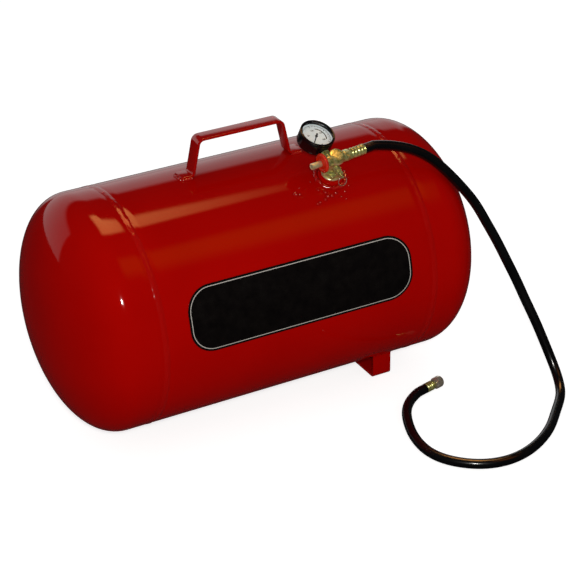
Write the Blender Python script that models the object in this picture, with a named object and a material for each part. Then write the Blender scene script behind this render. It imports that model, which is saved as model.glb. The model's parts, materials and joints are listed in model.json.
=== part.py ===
"""Portable air receiver: welded steel tank, carry handle, brass manifold, gauge and air hose.

Metres, +Z up. +X runs along the tank towards the manifold end and -Y is the labelled front.
The origin is on the floor, under the middle of the tank.
"""
import math

import bmesh
import bpy
from mathutils import Matrix, Vector

MM = 0.001

# Fits
TOUCH_GAP = 0.3 * MM         # between pieces that touch, or run close, without overlapping
SEAM_GAP = 0.3 * MM          # between the end of the shell and the shoulder of a head

# Tank
TANK_RADIUS = 152.5 * MM
TANGENT_X = 215.3 * MM       # middle of the tank to the start of the dished end
SEAM_X = 187.5 * MM          # middle of the tank to the girth weld
HEAD_DEPTH = 73.6 * MM
HEAD_POWER = 2.14            # 2 is an ellipse, more is squarer
WALL = 2.0 * MM
LIP_LENGTH = 10.0 * MM       # joggled lip of a head, inside the shell
JOGGLE_LENGTH = 2.5 * MM
TANK_CLEARANCE = 19.8 * MM   # floor to the underside of the shell
WELD_WIDTH = 8.0 * MM
WELD_HEIGHT = 1.5 * MM

# Handle: a flat strap bent over the tank
HANDLE_X = -8.0 * MM
HANDLE_HEIGHT = 49.2 * MM    # above the shell
HANDLE_TOP_HALF = 59.2 * MM
HANDLE_BASE_HALF = 69.0 * MM
HANDLE_TAB = 14.5 * MM
HANDLE_WIDTH = 20.0 * MM
HANDLE_STOCK = 3.3 * MM
HANDLE_TOP_BEND = 7.5 * MM
HANDLE_TAB_BEND = 4.5 * MM

# Feet: a wide strap across the manifold end and a narrow one along the other end
FOOT_STOCK = 3.0 * MM
FOOT_BEND = 6.0 * MM
WIDE_FOOT_X = 162.2 * MM
WIDE_FOOT_LENGTH = 26.5 * MM
WIDE_FOOT_HALF_SPAN = 67.6 * MM
NARROW_FOOT_X = -160.5 * MM
NARROW_FOOT_HALF_SPAN = 21.0 * MM
NARROW_FOOT_WIDTH = 20.0 * MM

# Label on the front of the shell
LABEL_HALF_LENGTH = 154.5 * MM
LABEL_HEIGHT = 84.4 * MM     # measured round the shell
LABEL_CORNER = 33.0 * MM
LABEL_ELEVATION = math.radians(13.75)
LABEL_THICKNESS = 0.4 * MM

# Manifold: a post on the shoulder of the tank with a cross bar
MANIFOLD_X = 85.5 * MM
MANIFOLD_LEAN = math.radians(25.0)
MANIFOLD_CLOCKING = math.radians(5.5)
SEAT_HEIGHT = 5.0 * MM       # shell to the seat of the post
BUNG_RADIUS = 12.7 * MM
BUNG_FLANGE_RADIUS = 19.0 * MM
BUNG_DEPTH = 11.0 * MM
POST_THREAD_RADIUS = 6.4 * MM
POST_THREAD_LENGTH = 9.0 * MM
POST_HEX = 22.0 * MM
POST_HEX_HEIGHT = 8.0 * MM
POST_NECK_RADIUS = 6.85 * MM
POST_CAP_RADIUS = 10.0 * MM
POST_BORE_RADIUS = 2.8 * MM
BAR_RADIUS = 7.0 * MM
BAR_CLEARANCE = 0.5 * MM     # cross bar to the boss of the safety valve
CAP_CROWN = 1.5 * MM         # cap of the post above the cross bar
CAP_SKIRT = 2.0 * MM         # cap below the middle of the cross bar
BAR_VALVE_END = 14.5 * MM
BAR_HOSE_END = 13.0 * MM
PORT_BOSS_RADIUS = 5.0 * MM
PORT_PASSAGE_RADIUS = 1.6 * MM

# Shut-off valve in the bar; lengths are measured outwards from the post's axis
SEAT_DEPTH = -3.0 * MM
SEAT_LENGTH = 3.0 * MM
SEAT_RADIUS = 2.2 * MM
BONNET_RADIUS = 4.2 * MM
BONNET_LENGTH = 1.9 * MM
BONNET_HEX = 11.0 * MM
BONNET_HEX_LENGTH = 2.2 * MM
PACKING_LENGTH = 1.0 * MM
DISC_RADIUS = 4.0 * MM
DISC_LENGTH = 3.4 * MM
SPINDLE_RADIUS = 2.6 * MM
SPINDLE_BORE_RADIUS = 1.2 * MM
SPINDLE_TIP = 25.5 * MM
KNOB_RADIUS = 12.2 * MM
KNOB_THICKNESS = 4.7 * MM
KNOB_ROUNDING = 1.2 * MM

# Fill valve in the middle of the knob
FILL_RADIUS = 4.0 * MM
FILL_LENGTH = 14.2 * MM
FILL_BORE_RADIUS = 2.2 * MM
FILL_SOCKET_FLOOR = 0.7 * MM
CORE_BORE_RADIUS = 0.9 * MM
CORE_LENGTH = 7.0 * MM
CORE_INSET = 1.5 * MM
PIN_RADIUS = 0.6 * MM
PIN_SEAL_RADIUS = 1.6 * MM
PIN_SEAL_LENGTH = 0.7 * MM
PIN_PROUD = 1.2 * MM

# Hose and its end fittings
HOSE_RADIUS = 6.35 * MM
NIPPLE_THREAD_RADIUS = 4.2 * MM
NIPPLE_THREAD_LENGTH = 5.8 * MM
NIPPLE_HEX = 12.7 * MM
NIPPLE_HEX_LENGTH = 5.7 * MM
NIPPLE_TAIL_RADIUS = 3.1 * MM
NIPPLE_BORE_RADIUS = 2.0 * MM
TAIL_INSET = 1.5 * MM
FERRULE_RADIUS = 6.5 * MM
FERRULE_LENGTH = 23.2 * MM
CRIMP_DEPTH = 0.6 * MM
TIP_FERRULE_RADIUS = 6.2 * MM
TIP_FERRULE_LENGTH = 12.0 * MM
TIP_COLLAR_RADIUS = 4.2 * MM
TIP_COLLAR_LENGTH = 3.7 * MM
CHUCK_RADIUS = 7.7 * MM
CHUCK_LENGTH = 13.0 * MM
CHUCK_WALL = 2.0 * MM
CHUCK_FLOOR = 2.0 * MM
CHUCK_MOUTH_RADIUS = 4.4 * MM
CHUCK_LIP = 1.2 * MM
CHUCK_SEAL_LENGTH = 1.6 * MM
CHUCK_SEAL_BORE = 2.2 * MM
CHUCK_PIN_RADIUS = 0.9 * MM
CHUCK_PIN_FLANGE = 3.2 * MM
CHUCK_PIN_TRAVEL = 0.8 * MM
CHUCK_SEAT_HEIGHT = 5.4 * MM  # chamber floor to the outer face of the seal
CHUCK_HEADING = math.radians(14.0)
CHUCK_LIFT = 0.2 * MM        # under the chuck, which lies on the floor

# Route of the hose between its straight ends, chosen by hand
HOSE_LEAD = 8.0 * MM         # straight stretches at both ends
HOSE_POINTS = 46
HOSE_ROUTE = [
    (0.1661, -0.0748, 0.3382),
    (0.1925, -0.0795, 0.3295),
    (0.2168, -0.0885, 0.3151),
    (0.2397, -0.1005, 0.2908),
    (0.2672, -0.1135, 0.2536),
    (0.2821, -0.1205, 0.2244),
    (0.2960, -0.1280, 0.1952),
    (0.3075, -0.1360, 0.1667),
    (0.3184, -0.1450, 0.1384),
    (0.3267, -0.1555, 0.1114),
    (0.3345, -0.1680, 0.0853),
    (0.3403, -0.1810, 0.0598),
    (0.3440, -0.1935, 0.0385),
    (0.3448, -0.2075, 0.0215),
    (0.3405, -0.2215, 0.0120),
    (0.3310, -0.2370, 0.0074),
    (0.2988, -0.2693, 0.0067),
    (0.2747, -0.2923, 0.0067),
    (0.2457, -0.3116, 0.0067),
    (0.2170, -0.3235, 0.0067),
    (0.1870, -0.3275, 0.0067),
    (0.1565, -0.3200, 0.0067),
    (0.1325, -0.3021, 0.0067),
    (0.1171, -0.2804, 0.0067),
    (0.1113, -0.2550, 0.0067),
    (0.1150, -0.2225, 0.0067),
    (0.1270, -0.1890, 0.0067),
    (0.1405, -0.1645, 0.0067),
    (0.1580, -0.1470, 0.0070),
    (0.1725, -0.1390, 0.0075),
]
HOSE_TIP = (0.1874, -0.1351)

# Pressure gauge on the back of the bar
GAUGE_PORT_X = -9.0 * MM
GAUGE_PORT_FACE = 9.8 * MM
GAUGE_PORT_FLOOR = 5.5 * MM
GAUGE_REACH = 12.8 * MM      # bar axis to the side of the case
GAUGE_TWIST = math.radians(7.0)
GAUGE_THREAD_RADIUS = 3.3 * MM
GAUGE_HEX = 12.0 * MM
GAUGE_NECK_RADIUS = 4.1 * MM
CASE_RADIUS = 22.5 * MM
CASE_WALL = 1.0 * MM
CASE_BACK = -5.5 * MM
CASE_FRONT = 12.3 * MM
BEZEL_BORE = 19.5 * MM
BEZEL_HEIGHT = 1.9 * MM
LENS_THICKNESS = 1.4 * MM
DIAL_HEIGHT = 6.6 * MM
DIAL_THICKNESS = 0.6 * MM
POINTER_LENGTH = 16.8 * MM
POINTER_TAIL = 5.0 * MM
POINTER_ZERO = math.radians(-135.0)
ARBOR_RADIUS = 0.7 * MM
PINION_RADIUS = 1.5 * MM
SECTOR_RADIUS = 9.0 * MM
SECTOR_HALF_ANGLE = math.radians(27.0)
SECTOR_SWING = math.radians(45.0)
SECTOR_FLOOR = 1.0 * MM
SECTOR_THICKNESS = 1.6 * MM
SECTOR_HUB_RADIUS = 2.0 * MM
PIVOT_RADIUS = 0.5 * MM
PLATE_FLOOR = 3.5 * MM
PLATE_THICKNESS = 0.8 * MM
BLOCK_HALF_WIDTH = 4.5 * MM
BLOCK_LENGTH = 8.0 * MM
BOURDON_RADIUS = 17.0 * MM

# Safety valve on the front of the post
SAFETY_HEIGHT = 15.5 * MM
SAFETY_PORT_FACE = 8.5 * MM
SAFETY_PORT_FLOOR = 5.5 * MM
SAFETY_THREAD_RADIUS = 3.4 * MM
SAFETY_HEX = 9.0 * MM
SAFETY_HEX_LENGTH = 2.5 * MM
SAFETY_BARREL_RADIUS = 4.2 * MM
SAFETY_BARREL_END = 17.5 * MM
SAFETY_SEAT_LENGTH = 1.5 * MM
SAFETY_INLET_RADIUS = 1.2 * MM
SAFETY_CHAMBER_RADIUS = 2.6 * MM
SAFETY_CAP = 0.8 * MM
SAFETY_LIFT = 1.5 * MM
POPPET_RADIUS = 2.2 * MM
POPPET_LENGTH = 1.0 * MM
POPPET_STEM_RADIUS = 0.8 * MM
EYE_DISTANCE = 20.5 * MM
EYE_RADIUS = 1.9 * MM
EYE_THICKNESS = 1.6 * MM
PULL_RING_RADIUS = 6.0 * MM
PULL_RING_WIRE = 0.6 * MM
SPRING_WIRE = 0.3 * MM

TANK_SEGMENTS = 48
ROUND_SEGMENTS = 24
SMALL_SEGMENTS = 16
BAR_SEGMENTS = 20
CROSS_PHASE = math.radians(4.0)   # keeps the facets of crossing cylinders from lining up
RIGHT_ANGLE = math.radians(90.0)

AXIS_HEIGHT = TANK_CLEARANCE + TANK_RADIUS
BAR_HEIGHT = SAFETY_HEIGHT + PORT_BOSS_RADIUS + BAR_CLEARANCE + BAR_RADIUS
POST_TOP = BAR_HEIGHT + BAR_RADIUS + CAP_CROWN
POST_CAP_BASE = BAR_HEIGHT - CAP_SKIRT
GAUGE_DISTANCE = GAUGE_REACH + CASE_RADIUS    # bar axis to the middle of the dial
SEAL_RADIUS = TANK_RADIUS + TOUCH_GAP     # what rests on the shell starts here
BLOCK_START = CASE_WALL + MM - CASE_RADIUS     # gauge block, just inside the case wall


def turn(angle, axis):
    return Matrix.Rotation(angle, 4, axis)


def shift(x=0.0, y=0.0, z=0.0):
    return Matrix.Translation((x, y, z))


# Frames: the local Z axis of each is the axis of the pieces turned in it
TANK_FRAME = shift(z=AXIS_HEIGHT) @ turn(RIGHT_ANGLE, "Y")
MANIFOLD_FRAME = (
    shift(MANIFOLD_X, 0.0, AXIS_HEIGHT)
    @ turn(MANIFOLD_LEAN, "X")
    @ shift(z=TANK_RADIUS + SEAT_HEIGHT)
    @ turn(MANIFOLD_CLOCKING, "Z")
)
HOSE_PORT_FRAME = MANIFOLD_FRAME @ shift(z=BAR_HEIGHT) @ turn(RIGHT_ANGLE, "Y")
VALVE_FRAME = MANIFOLD_FRAME @ shift(z=BAR_HEIGHT) @ turn(-RIGHT_ANGLE, "Y")
GAUGE_PORT_FRAME = MANIFOLD_FRAME @ shift(GAUGE_PORT_X, 0.0, BAR_HEIGHT) @ turn(-RIGHT_ANGLE, "X")
SAFETY_FRAME = MANIFOLD_FRAME @ shift(z=SAFETY_HEIGHT) @ turn(RIGHT_ANGLE, "X")
GAUGE_FRAME = (
    MANIFOLD_FRAME
    @ shift(GAUGE_PORT_X, 0.0, BAR_HEIGHT)
    @ turn(GAUGE_TWIST, "Y")
    @ shift(y=GAUGE_DISTANCE)
)
CHUCK_FRAME = (
    shift(HOSE_TIP[0], HOSE_TIP[1], CHUCK_RADIUS + CHUCK_LIFT)
    @ turn(CHUCK_HEADING, "Z")
    @ turn(RIGHT_ANGLE, "Y")
)


# ---------------------------------------------------------------- helpers

def clear_scene():
    for item in list(bpy.data.objects):
        bpy.data.objects.remove(item, do_unlink=True)
    for store in (bpy.data.meshes, bpy.data.curves, bpy.data.materials):
        for block in list(store):
            store.remove(block)


def linear(channel):
    value = channel / 255.0
    return value / 12.92 if value <= 0.04045 else ((value + 0.055) / 1.055) ** 2.4


def principled(name, red, green, blue, metallic, roughness):
    material = bpy.data.materials.new(name)
    material.use_nodes = True
    shader = material.node_tree.nodes["Principled BSDF"]
    shader.inputs["Base Color"].default_value = (linear(red), linear(green), linear(blue), 1.0)
    shader.inputs["Metallic"].default_value = metallic
    shader.inputs["Roughness"].default_value = roughness
    return material


def add_object(name, data, frame, material):
    item = bpy.data.objects.new(name, data)
    bpy.context.scene.collection.objects.link(item)
    item.matrix_world = frame
    if material:
        data.materials.append(material)
    return item


def mesh_object(name, mesh_builder, frame, material):
    """Close the built mesh, turn its faces outwards and shade its round faces smooth."""
    bmesh.ops.remove_doubles(mesh_builder, verts=mesh_builder.verts, dist=0.001 * MM)
    bmesh.ops.recalc_face_normals(mesh_builder, faces=mesh_builder.faces)
    mesh = bpy.data.meshes.new(name)
    mesh_builder.to_mesh(mesh)
    mesh_builder.free()
    mesh.shade_smooth()
    mesh.set_sharp_from_angle(angle=math.radians(32.0))
    return add_object(name, mesh, frame, material)


def turned(name, outline, frame, material=None, segments=ROUND_SEGMENTS, phase=0.0):
    """Spin (height, radius) points; an outline that leaves the axis closes on itself."""
    builder = bmesh.new()
    points = []
    for height, radius in outline:
        points.append(builder.verts.new((radius * math.cos(phase), radius * math.sin(phase), height)))
    pairs = list(zip(points, points[1:]))
    if outline[0][1] > 0.0:
        pairs.append((points[-1], points[0]))
    edges = [builder.edges.new(pair) for pair in pairs]
    bmesh.ops.spin(
        builder, geom=points + edges, cent=(0, 0, 0), axis=(0, 0, 1),
        angle=math.tau, steps=segments, use_merge=True,
    )
    return mesh_object(name, builder, frame, material)


def extruded(name, outline, depth, frame, material=None):
    """Push an (x, y) outline along the frame's Z axis."""
    builder = bmesh.new()
    face = builder.faces.new([builder.verts.new((x, y, 0.0)) for x, y in outline])
    pushed = bmesh.ops.extrude_face_region(builder, geom=[face])
    moved = [piece for piece in pushed["geom"] if isinstance(piece, bmesh.types.BMVert)]
    bmesh.ops.translate(builder, verts=moved, vec=(0.0, 0.0, depth))
    return mesh_object(name, builder, frame, material)


def combine(target, tool, operation):
    """Join or cut the target with a hidden tool."""
    modifier = target.modifiers.new(tool.name, "BOOLEAN")
    modifier.operation = operation
    modifier.object = tool
    tool.hide_render = True
    tool.display_type = "WIRE"


def join(target, tool):
    combine(target, tool, "UNION")


def cut(target, tool):
    combine(target, tool, "DIFFERENCE")


def rod(start, end, radius):
    """Outline of a solid cylinder."""
    return [(start, 0.0), (start, radius), (end, radius), (end, 0.0)]


def sleeve(start, end, bore, radius):
    """Outline of a tube."""
    return [(start, bore), (start, radius), (end, radius), (end, bore)]


def stepped(*sections):
    """Outline of a solid shaft from (start, end, radius) sections that follow each other."""
    outline = [(sections[0][0], 0.0)]
    for start, end, radius in sections:
        outline += [(start, radius), (end, radius)]
    return outline + [(sections[-1][1], 0.0)]


def hexagon(across_flats):
    corner = across_flats / math.sqrt(3.0)
    angles = [math.radians(60.0 * step) for step in range(6)]
    return [(corner * math.cos(angle), corner * math.sin(angle)) for angle in angles]


def bent_strip(corners, bend, stock, steps=4):
    """Outline of flat stock along a polyline, each inner corner an arc of centreline radius bend."""
    bends = bend if isinstance(bend, list) else [bend] * (len(corners) - 2)
    points = [Vector(corner) for corner in corners]
    first = (points[1] - points[0]).normalized()
    last = (points[-1] - points[-2]).normalized()
    left = [points[0] + first.orthogonal() * stock / 2]
    right = [points[0] - first.orthogonal() * stock / 2]
    for before, corner, after, radius in zip(points, points[1:], points[2:], bends):
        heading = (corner - before).normalized()
        angle = heading.angle_signed((after - corner).normalized()) * -1.0
        side = heading.orthogonal() * math.copysign(1.0, angle)
        start = corner - heading * radius * math.tan(abs(angle) / 2)
        centre = start + side * radius
        for step in range(steps + 1):
            spoke = Matrix.Rotation(angle * step / steps, 2) @ (start - centre)
            out = spoke.normalized() * math.copysign(stock / 2, angle)
            left.append(centre + spoke - out)
            right.append(centre + spoke + out)
    left.append(points[-1] + last.orthogonal() * stock / 2)
    right.append(points[-1] - last.orthogonal() * stock / 2)
    return [(point.x, point.y) for point in left + right[::-1]]


def tube(name, points, radius, frame, material, sides_resolution):
    """A round bar along a polyline."""
    curve = bpy.data.curves.new(name, "CURVE")
    curve.dimensions = "3D"
    curve.bevel_depth = radius
    curve.bevel_resolution = sides_resolution
    curve.use_fill_caps = True
    spline = curve.splines.new("POLY")
    spline.points.add(len(points) - 1)
    for slot, point in zip(spline.points, points):
        slot.co = (point[0], point[1], point[2], 1.0)
    return add_object(name, curve, frame, material)


def helix(start, end, radius, turns, points_per_turn=10):
    count = int(turns * points_per_turn)
    route = []
    for step in range(count + 1):
        share = step / count
        angle = math.tau * turns * share
        height = start + (end - start) * share
        route.append((radius * math.cos(angle), radius * math.sin(angle), height))
    return route


def smooth_route(stops, count):
    """Evenly spaced points on a Catmull-Rom curve through the stops."""
    ends = [stops[0] * 2 - stops[1]] + stops + [stops[-1] * 2 - stops[-2]]
    fine = []
    for a, b, c, d in zip(ends, ends[1:], ends[2:], ends[3:]):
        for step in range(24):
            t = step / 24
            bend = (a * 2 - b * 5 + c * 4 - d) * t * t + (b * 3 - a - c * 3 + d) * t * t * t
            fine.append((b * 2 + (c - a) * t + bend) / 2)
    fine.append(stops[-1])
    reach = [0.0]
    for before, after in zip(fine, fine[1:]):
        reach.append(reach[-1] + (after - before).length)
    route = []
    index = 0
    for step in range(count):
        target = reach[-1] * step / (count - 1)
        while index < len(fine) - 2 and reach[index + 1] < target:
            index += 1
        share = (target - reach[index]) / (reach[index + 1] - reach[index])
        route.append(fine[index].lerp(fine[index + 1], min(share, 1.0)))
    return route


# ---------------------------------------------------------------- tank

def tank_envelope(name):
    """Hidden cylinder that trims what is welded to the shell."""
    return turned(name, rod(-TANGENT_X, TANGENT_X, SEAL_RADIUS), TANK_FRAME, None, TANK_SEGMENTS)


def tank_shell(paint):
    half = SEAM_X - SEAM_GAP / 2
    outline = sleeve(-half, half, TANK_RADIUS - WALL, TANK_RADIUS)
    shell = turned("tank_shell", outline, TANK_FRAME, paint, TANK_SEGMENTS)
    hole = rod(-SEAT_HEIGHT - WALL - BUNG_DEPTH, SEAT_HEIGHT, BUNG_RADIUS + TOUCH_GAP)
    cut(shell, turned("bung_hole", hole, MANIFOLD_FRAME))


def head_arc(depth, radius, steps):
    """Quarter of the dished end, from the middle of the tank's end to the tangent line."""
    arc = []
    for step in range(steps + 1):
        angle = RIGHT_ANGLE * step / steps
        height = TANGENT_X + depth * math.cos(angle) ** (2.0 / HEAD_POWER)
        arc.append((height, radius * math.sin(angle) ** (2.0 / HEAD_POWER)))
    return arc


def tank_head(name, frame, paint):
    """Dished end with a joggled lip that fits inside the shell."""
    outer = head_arc(HEAD_DEPTH, TANK_RADIUS, 9)
    inner = head_arc(HEAD_DEPTH - WALL, TANK_RADIUS - WALL, 7)
    shoulder = SEAM_X + SEAM_GAP / 2
    lip_end = SEAM_X - LIP_LENGTH
    lip_radius = TANK_RADIUS - WALL - TOUCH_GAP
    lip = [
        (shoulder, TANK_RADIUS),
        (shoulder, lip_radius),
        (lip_end, lip_radius),
        (lip_end, lip_radius - WALL),
        (shoulder, lip_radius - WALL),
        (shoulder + JOGGLE_LENGTH, TANK_RADIUS - WALL),
    ]
    turned(name, outer + lip + inner[::-1], frame, paint, TANK_SEGMENTS)


def girth_weld(name, middle, paint):
    """Bead over the seam between the shell and a head."""
    half = WELD_WIDTH / 2
    outline = [(middle - half, SEAL_RADIUS), (middle + half, SEAL_RADIUS)]
    for step in range(5):
        angle = math.pi * step / 4
        crown = SEAL_RADIUS + 0.2 * MM + (WELD_HEIGHT - TOUCH_GAP - 0.2 * MM) * math.sin(angle)
        outline.append((middle + half * math.cos(angle), crown))
    turned(name, outline, TANK_FRAME, paint, TANK_SEGMENTS)


def bung(paint):
    """Welded threaded boss that the manifold screws into."""
    reach = SEAT_HEIGHT + 3.0 * MM
    flange = turned("bung", rod(-reach, -TOUCH_GAP, BUNG_FLANGE_RADIUS), MANIFOLD_FRAME, paint)
    cut(flange, tank_envelope("bung_saddle"))
    spigot = rod(-SEAT_HEIGHT - BUNG_DEPTH, -2.0 * MM, BUNG_RADIUS)
    join(flange, turned("bung_spigot", spigot, MANIFOLD_FRAME))
    bore = rod(-SEAT_HEIGHT - BUNG_DEPTH - MM, MM, POST_THREAD_RADIUS + TOUCH_GAP)
    cut(flange, turned("bung_bore", bore, MANIFOLD_FRAME))


def handle(paint):
    """One strap: tab, splayed leg, grip, leg, tab."""
    half_stock = HANDLE_STOCK / 2
    tab_height = TOUCH_GAP + half_stock
    top_height = HANDLE_HEIGHT - half_stock
    base_half = HANDLE_BASE_HALF - half_stock
    top_half = HANDLE_TOP_HALF - half_stock
    tab_end = HANDLE_BASE_HALF + HANDLE_TAB
    corners = [
        (-tab_end, tab_height),
        (-base_half, tab_height),
        (-top_half, top_height),
        (top_half, top_height),
        (base_half, tab_height),
        (tab_end, tab_height),
    ]
    bends = [HANDLE_TAB_BEND, HANDLE_TOP_BEND, HANDLE_TOP_BEND, HANDLE_TAB_BEND]
    outline = bent_strip(corners, bends, HANDLE_STOCK)
    frame = shift(HANDLE_X, HANDLE_WIDTH / 2, AXIS_HEIGHT + TANK_RADIUS) @ turn(RIGHT_ANGLE, "X")
    extruded("handle", outline, HANDLE_WIDTH, frame, paint)


def strap_foot(name, half_span, length, frame, paint):
    """U-shaped strap on the floor, its legs trimmed to the shell."""
    half_stock = FOOT_STOCK / 2
    top = TANK_CLEARANCE + TANK_RADIUS / 5
    inner = half_span - half_stock
    corners = [(-inner, top), (-inner, half_stock), (inner, half_stock), (inner, top)]
    outline = bent_strip(corners, FOOT_BEND, FOOT_STOCK)
    foot = extruded(name, outline, length, frame, paint)
    cut(foot, tank_envelope(name + "_saddle"))


def feet(paint):
    across = turn(RIGHT_ANGLE, "Z") @ turn(RIGHT_ANGLE, "X")
    wide_frame = shift(WIDE_FOOT_X - WIDE_FOOT_LENGTH / 2) @ across
    strap_foot("foot_wide", WIDE_FOOT_HALF_SPAN, WIDE_FOOT_LENGTH, wide_frame, paint)
    narrow_frame = shift(NARROW_FOOT_X, NARROW_FOOT_WIDTH / 2) @ turn(RIGHT_ANGLE, "X")
    strap_foot("foot_narrow", NARROW_FOOT_HALF_SPAN, NARROW_FOOT_WIDTH, narrow_frame, paint)


def label(ink):
    """Thin plate with round corners, wrapped on the shell; each row is two points per layer."""
    rows = []
    for side in (-1.0, 1.0):
        for step in range(7):
            angle = RIGHT_ANGLE * (step / 6 + (side - 1.0) / 2)
            half_length = LABEL_HALF_LENGTH - LABEL_CORNER * (1.0 - math.cos(angle))
            middle = side * (LABEL_HEIGHT / 2 - LABEL_CORNER)
            rows.append((middle + LABEL_CORNER * math.sin(angle), half_length))
    builder = bmesh.new()
    rings = []
    for climb, half_length in rows:
        angle = LABEL_ELEVATION + climb / TANK_RADIUS
        ring = []
        for radius, x in (
            (SEAL_RADIUS, -half_length),
            (SEAL_RADIUS, half_length),
            (SEAL_RADIUS + LABEL_THICKNESS, half_length),
            (SEAL_RADIUS + LABEL_THICKNESS, -half_length),
        ):
            ring.append(builder.verts.new((x, -radius * math.cos(angle), radius * math.sin(angle))))
        rings.append(ring)
    for lower, upper in zip(rings, rings[1:]):
        for corner in range(4):
            following = (corner + 1) % 4
            builder.faces.new((lower[corner], lower[following], upper[following], upper[corner]))
    builder.faces.new(rings[0])
    builder.faces.new(rings[-1])
    mesh_object("label", builder, shift(z=AXIS_HEIGHT), ink)


# ---------------------------------------------------------------- manifold and shut-off valve

def manifold_body(brass):
    """Post with a hexagon, a round cap, a cross bar and two ports, all bored through."""
    post = turned("manifold_body", stepped(
        (-POST_THREAD_LENGTH, POST_HEX_HEIGHT / 2, POST_THREAD_RADIUS),
        (POST_HEX_HEIGHT / 2, POST_CAP_BASE, POST_NECK_RADIUS),
        (POST_CAP_BASE, POST_TOP - MM, POST_CAP_RADIUS),
        (POST_TOP, POST_TOP, POST_CAP_RADIUS - MM),
    ), MANIFOLD_FRAME, brass)
    join(post, extruded("post_hexagon", hexagon(POST_HEX), POST_HEX_HEIGHT, MANIFOLD_FRAME))
    bar = rod(-BAR_VALVE_END, BAR_HOSE_END, BAR_RADIUS)
    join(post, turned("cross_bar", bar, HOSE_PORT_FRAME, None, BAR_SEGMENTS, CROSS_PHASE))
    gauge_boss = rod(0.0, GAUGE_PORT_FACE, PORT_BOSS_RADIUS)
    join(post, turned("gauge_boss", gauge_boss, GAUGE_PORT_FRAME, None, SMALL_SEGMENTS, 2 * CROSS_PHASE))
    safety_boss = rod(0.0, SAFETY_PORT_FACE, PORT_BOSS_RADIUS)
    join(post, turned("safety_boss", safety_boss, SAFETY_FRAME, None, SMALL_SEGMENTS, CROSS_PHASE))
    riser = rod(-POST_THREAD_LENGTH - MM, BAR_HEIGHT, POST_BORE_RADIUS)
    cut(post, turned("riser_bore", riser, MANIFOLD_FRAME, None, SMALL_SEGMENTS))
    cut(post, turned("bar_bore", stepped(
        (-BAR_VALVE_END - MM, -SEAT_DEPTH, BONNET_RADIUS + TOUCH_GAP),
        (-SEAT_DEPTH, SEAT_LENGTH - SEAT_DEPTH, SEAT_RADIUS),
        (SEAT_LENGTH - SEAT_DEPTH, BAR_HOSE_END + MM, NIPPLE_THREAD_RADIUS + TOUCH_GAP),
    ), HOSE_PORT_FRAME, None, ROUND_SEGMENTS, CROSS_PHASE))
    cut(post, turned("gauge_bore", stepped(
        (2.0 * MM, GAUGE_PORT_FLOOR, PORT_PASSAGE_RADIUS),
        (GAUGE_PORT_FLOOR, GAUGE_PORT_FACE + MM, GAUGE_THREAD_RADIUS + TOUCH_GAP),
    ), GAUGE_PORT_FRAME, None, SMALL_SEGMENTS, 2 * CROSS_PHASE))
    cut(post, turned("safety_bore", stepped(
        (MM, SAFETY_PORT_FLOOR, PORT_PASSAGE_RADIUS),
        (SAFETY_PORT_FLOOR, SAFETY_PORT_FACE + MM, SAFETY_THREAD_RADIUS + TOUCH_GAP),
    ), SAFETY_FRAME, None, SMALL_SEGMENTS, CROSS_PHASE))


def bonnet(brass, packing):
    """Nut that closes the valve chamber, with the packing ring behind it."""
    bore = SPINDLE_RADIUS + TOUCH_GAP
    seat = BAR_VALVE_END + TOUCH_GAP
    inner_end = seat - TOUCH_GAP - BONNET_LENGTH
    shank = turned("bonnet_nut", rod(inner_end, seat + MM, BONNET_RADIUS), VALVE_FRAME, brass)
    head = extruded("bonnet_hexagon", hexagon(BONNET_HEX), BONNET_HEX_LENGTH, VALVE_FRAME @ shift(z=seat))
    join(shank, head)
    through = rod(inner_end - MM, seat + BONNET_HEX_LENGTH + MM, bore)
    cut(shank, turned("bonnet_bore", through, VALVE_FRAME))
    ring_end = inner_end - TOUCH_GAP
    ring = sleeve(ring_end - PACKING_LENGTH, ring_end, bore, BONNET_RADIUS)
    turned("packing_ring", ring, VALVE_FRAME, packing, SMALL_SEGMENTS)


def knob_face():
    """Distance from the post's axis to the inner face of the knob."""
    return BAR_VALVE_END + TOUCH_GAP + BONNET_HEX_LENGTH + TOUCH_GAP


def shut_off_valve(brass, rubber, knob_paint):
    """Sliding seat disc, hollow spindle and knob."""
    disc_start = SEAT_DEPTH + TOUCH_GAP
    disc_end = disc_start + DISC_LENGTH
    turned("valve_disc", rod(disc_start, disc_end, DISC_RADIUS), VALVE_FRAME, rubber)
    spindle_start = disc_end + TOUCH_GAP
    outline = sleeve(spindle_start, SPINDLE_TIP, SPINDLE_BORE_RADIUS, SPINDLE_RADIUS)
    spindle = turned("valve_spindle", outline, VALVE_FRAME, brass, SMALL_SEGMENTS)
    crossing = VALVE_FRAME @ shift(z=spindle_start + 3.0 * MM) @ turn(RIGHT_ANGLE, "X")
    reach = SPINDLE_RADIUS + MM
    cut(spindle, turned("spindle_port", rod(-reach, reach, 0.8 * MM), crossing, None, 8))
    start = knob_face()
    end = start + KNOB_THICKNESS
    bore = SPINDLE_RADIUS + TOUCH_GAP
    turned("valve_knob", [
        (start, bore),
        (start, KNOB_RADIUS - KNOB_ROUNDING),
        (start + KNOB_ROUNDING, KNOB_RADIUS),
        (end - KNOB_ROUNDING, KNOB_RADIUS),
        (end, KNOB_RADIUS - KNOB_ROUNDING),
        (end, bore),
    ], VALVE_FRAME, knob_paint)


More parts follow.
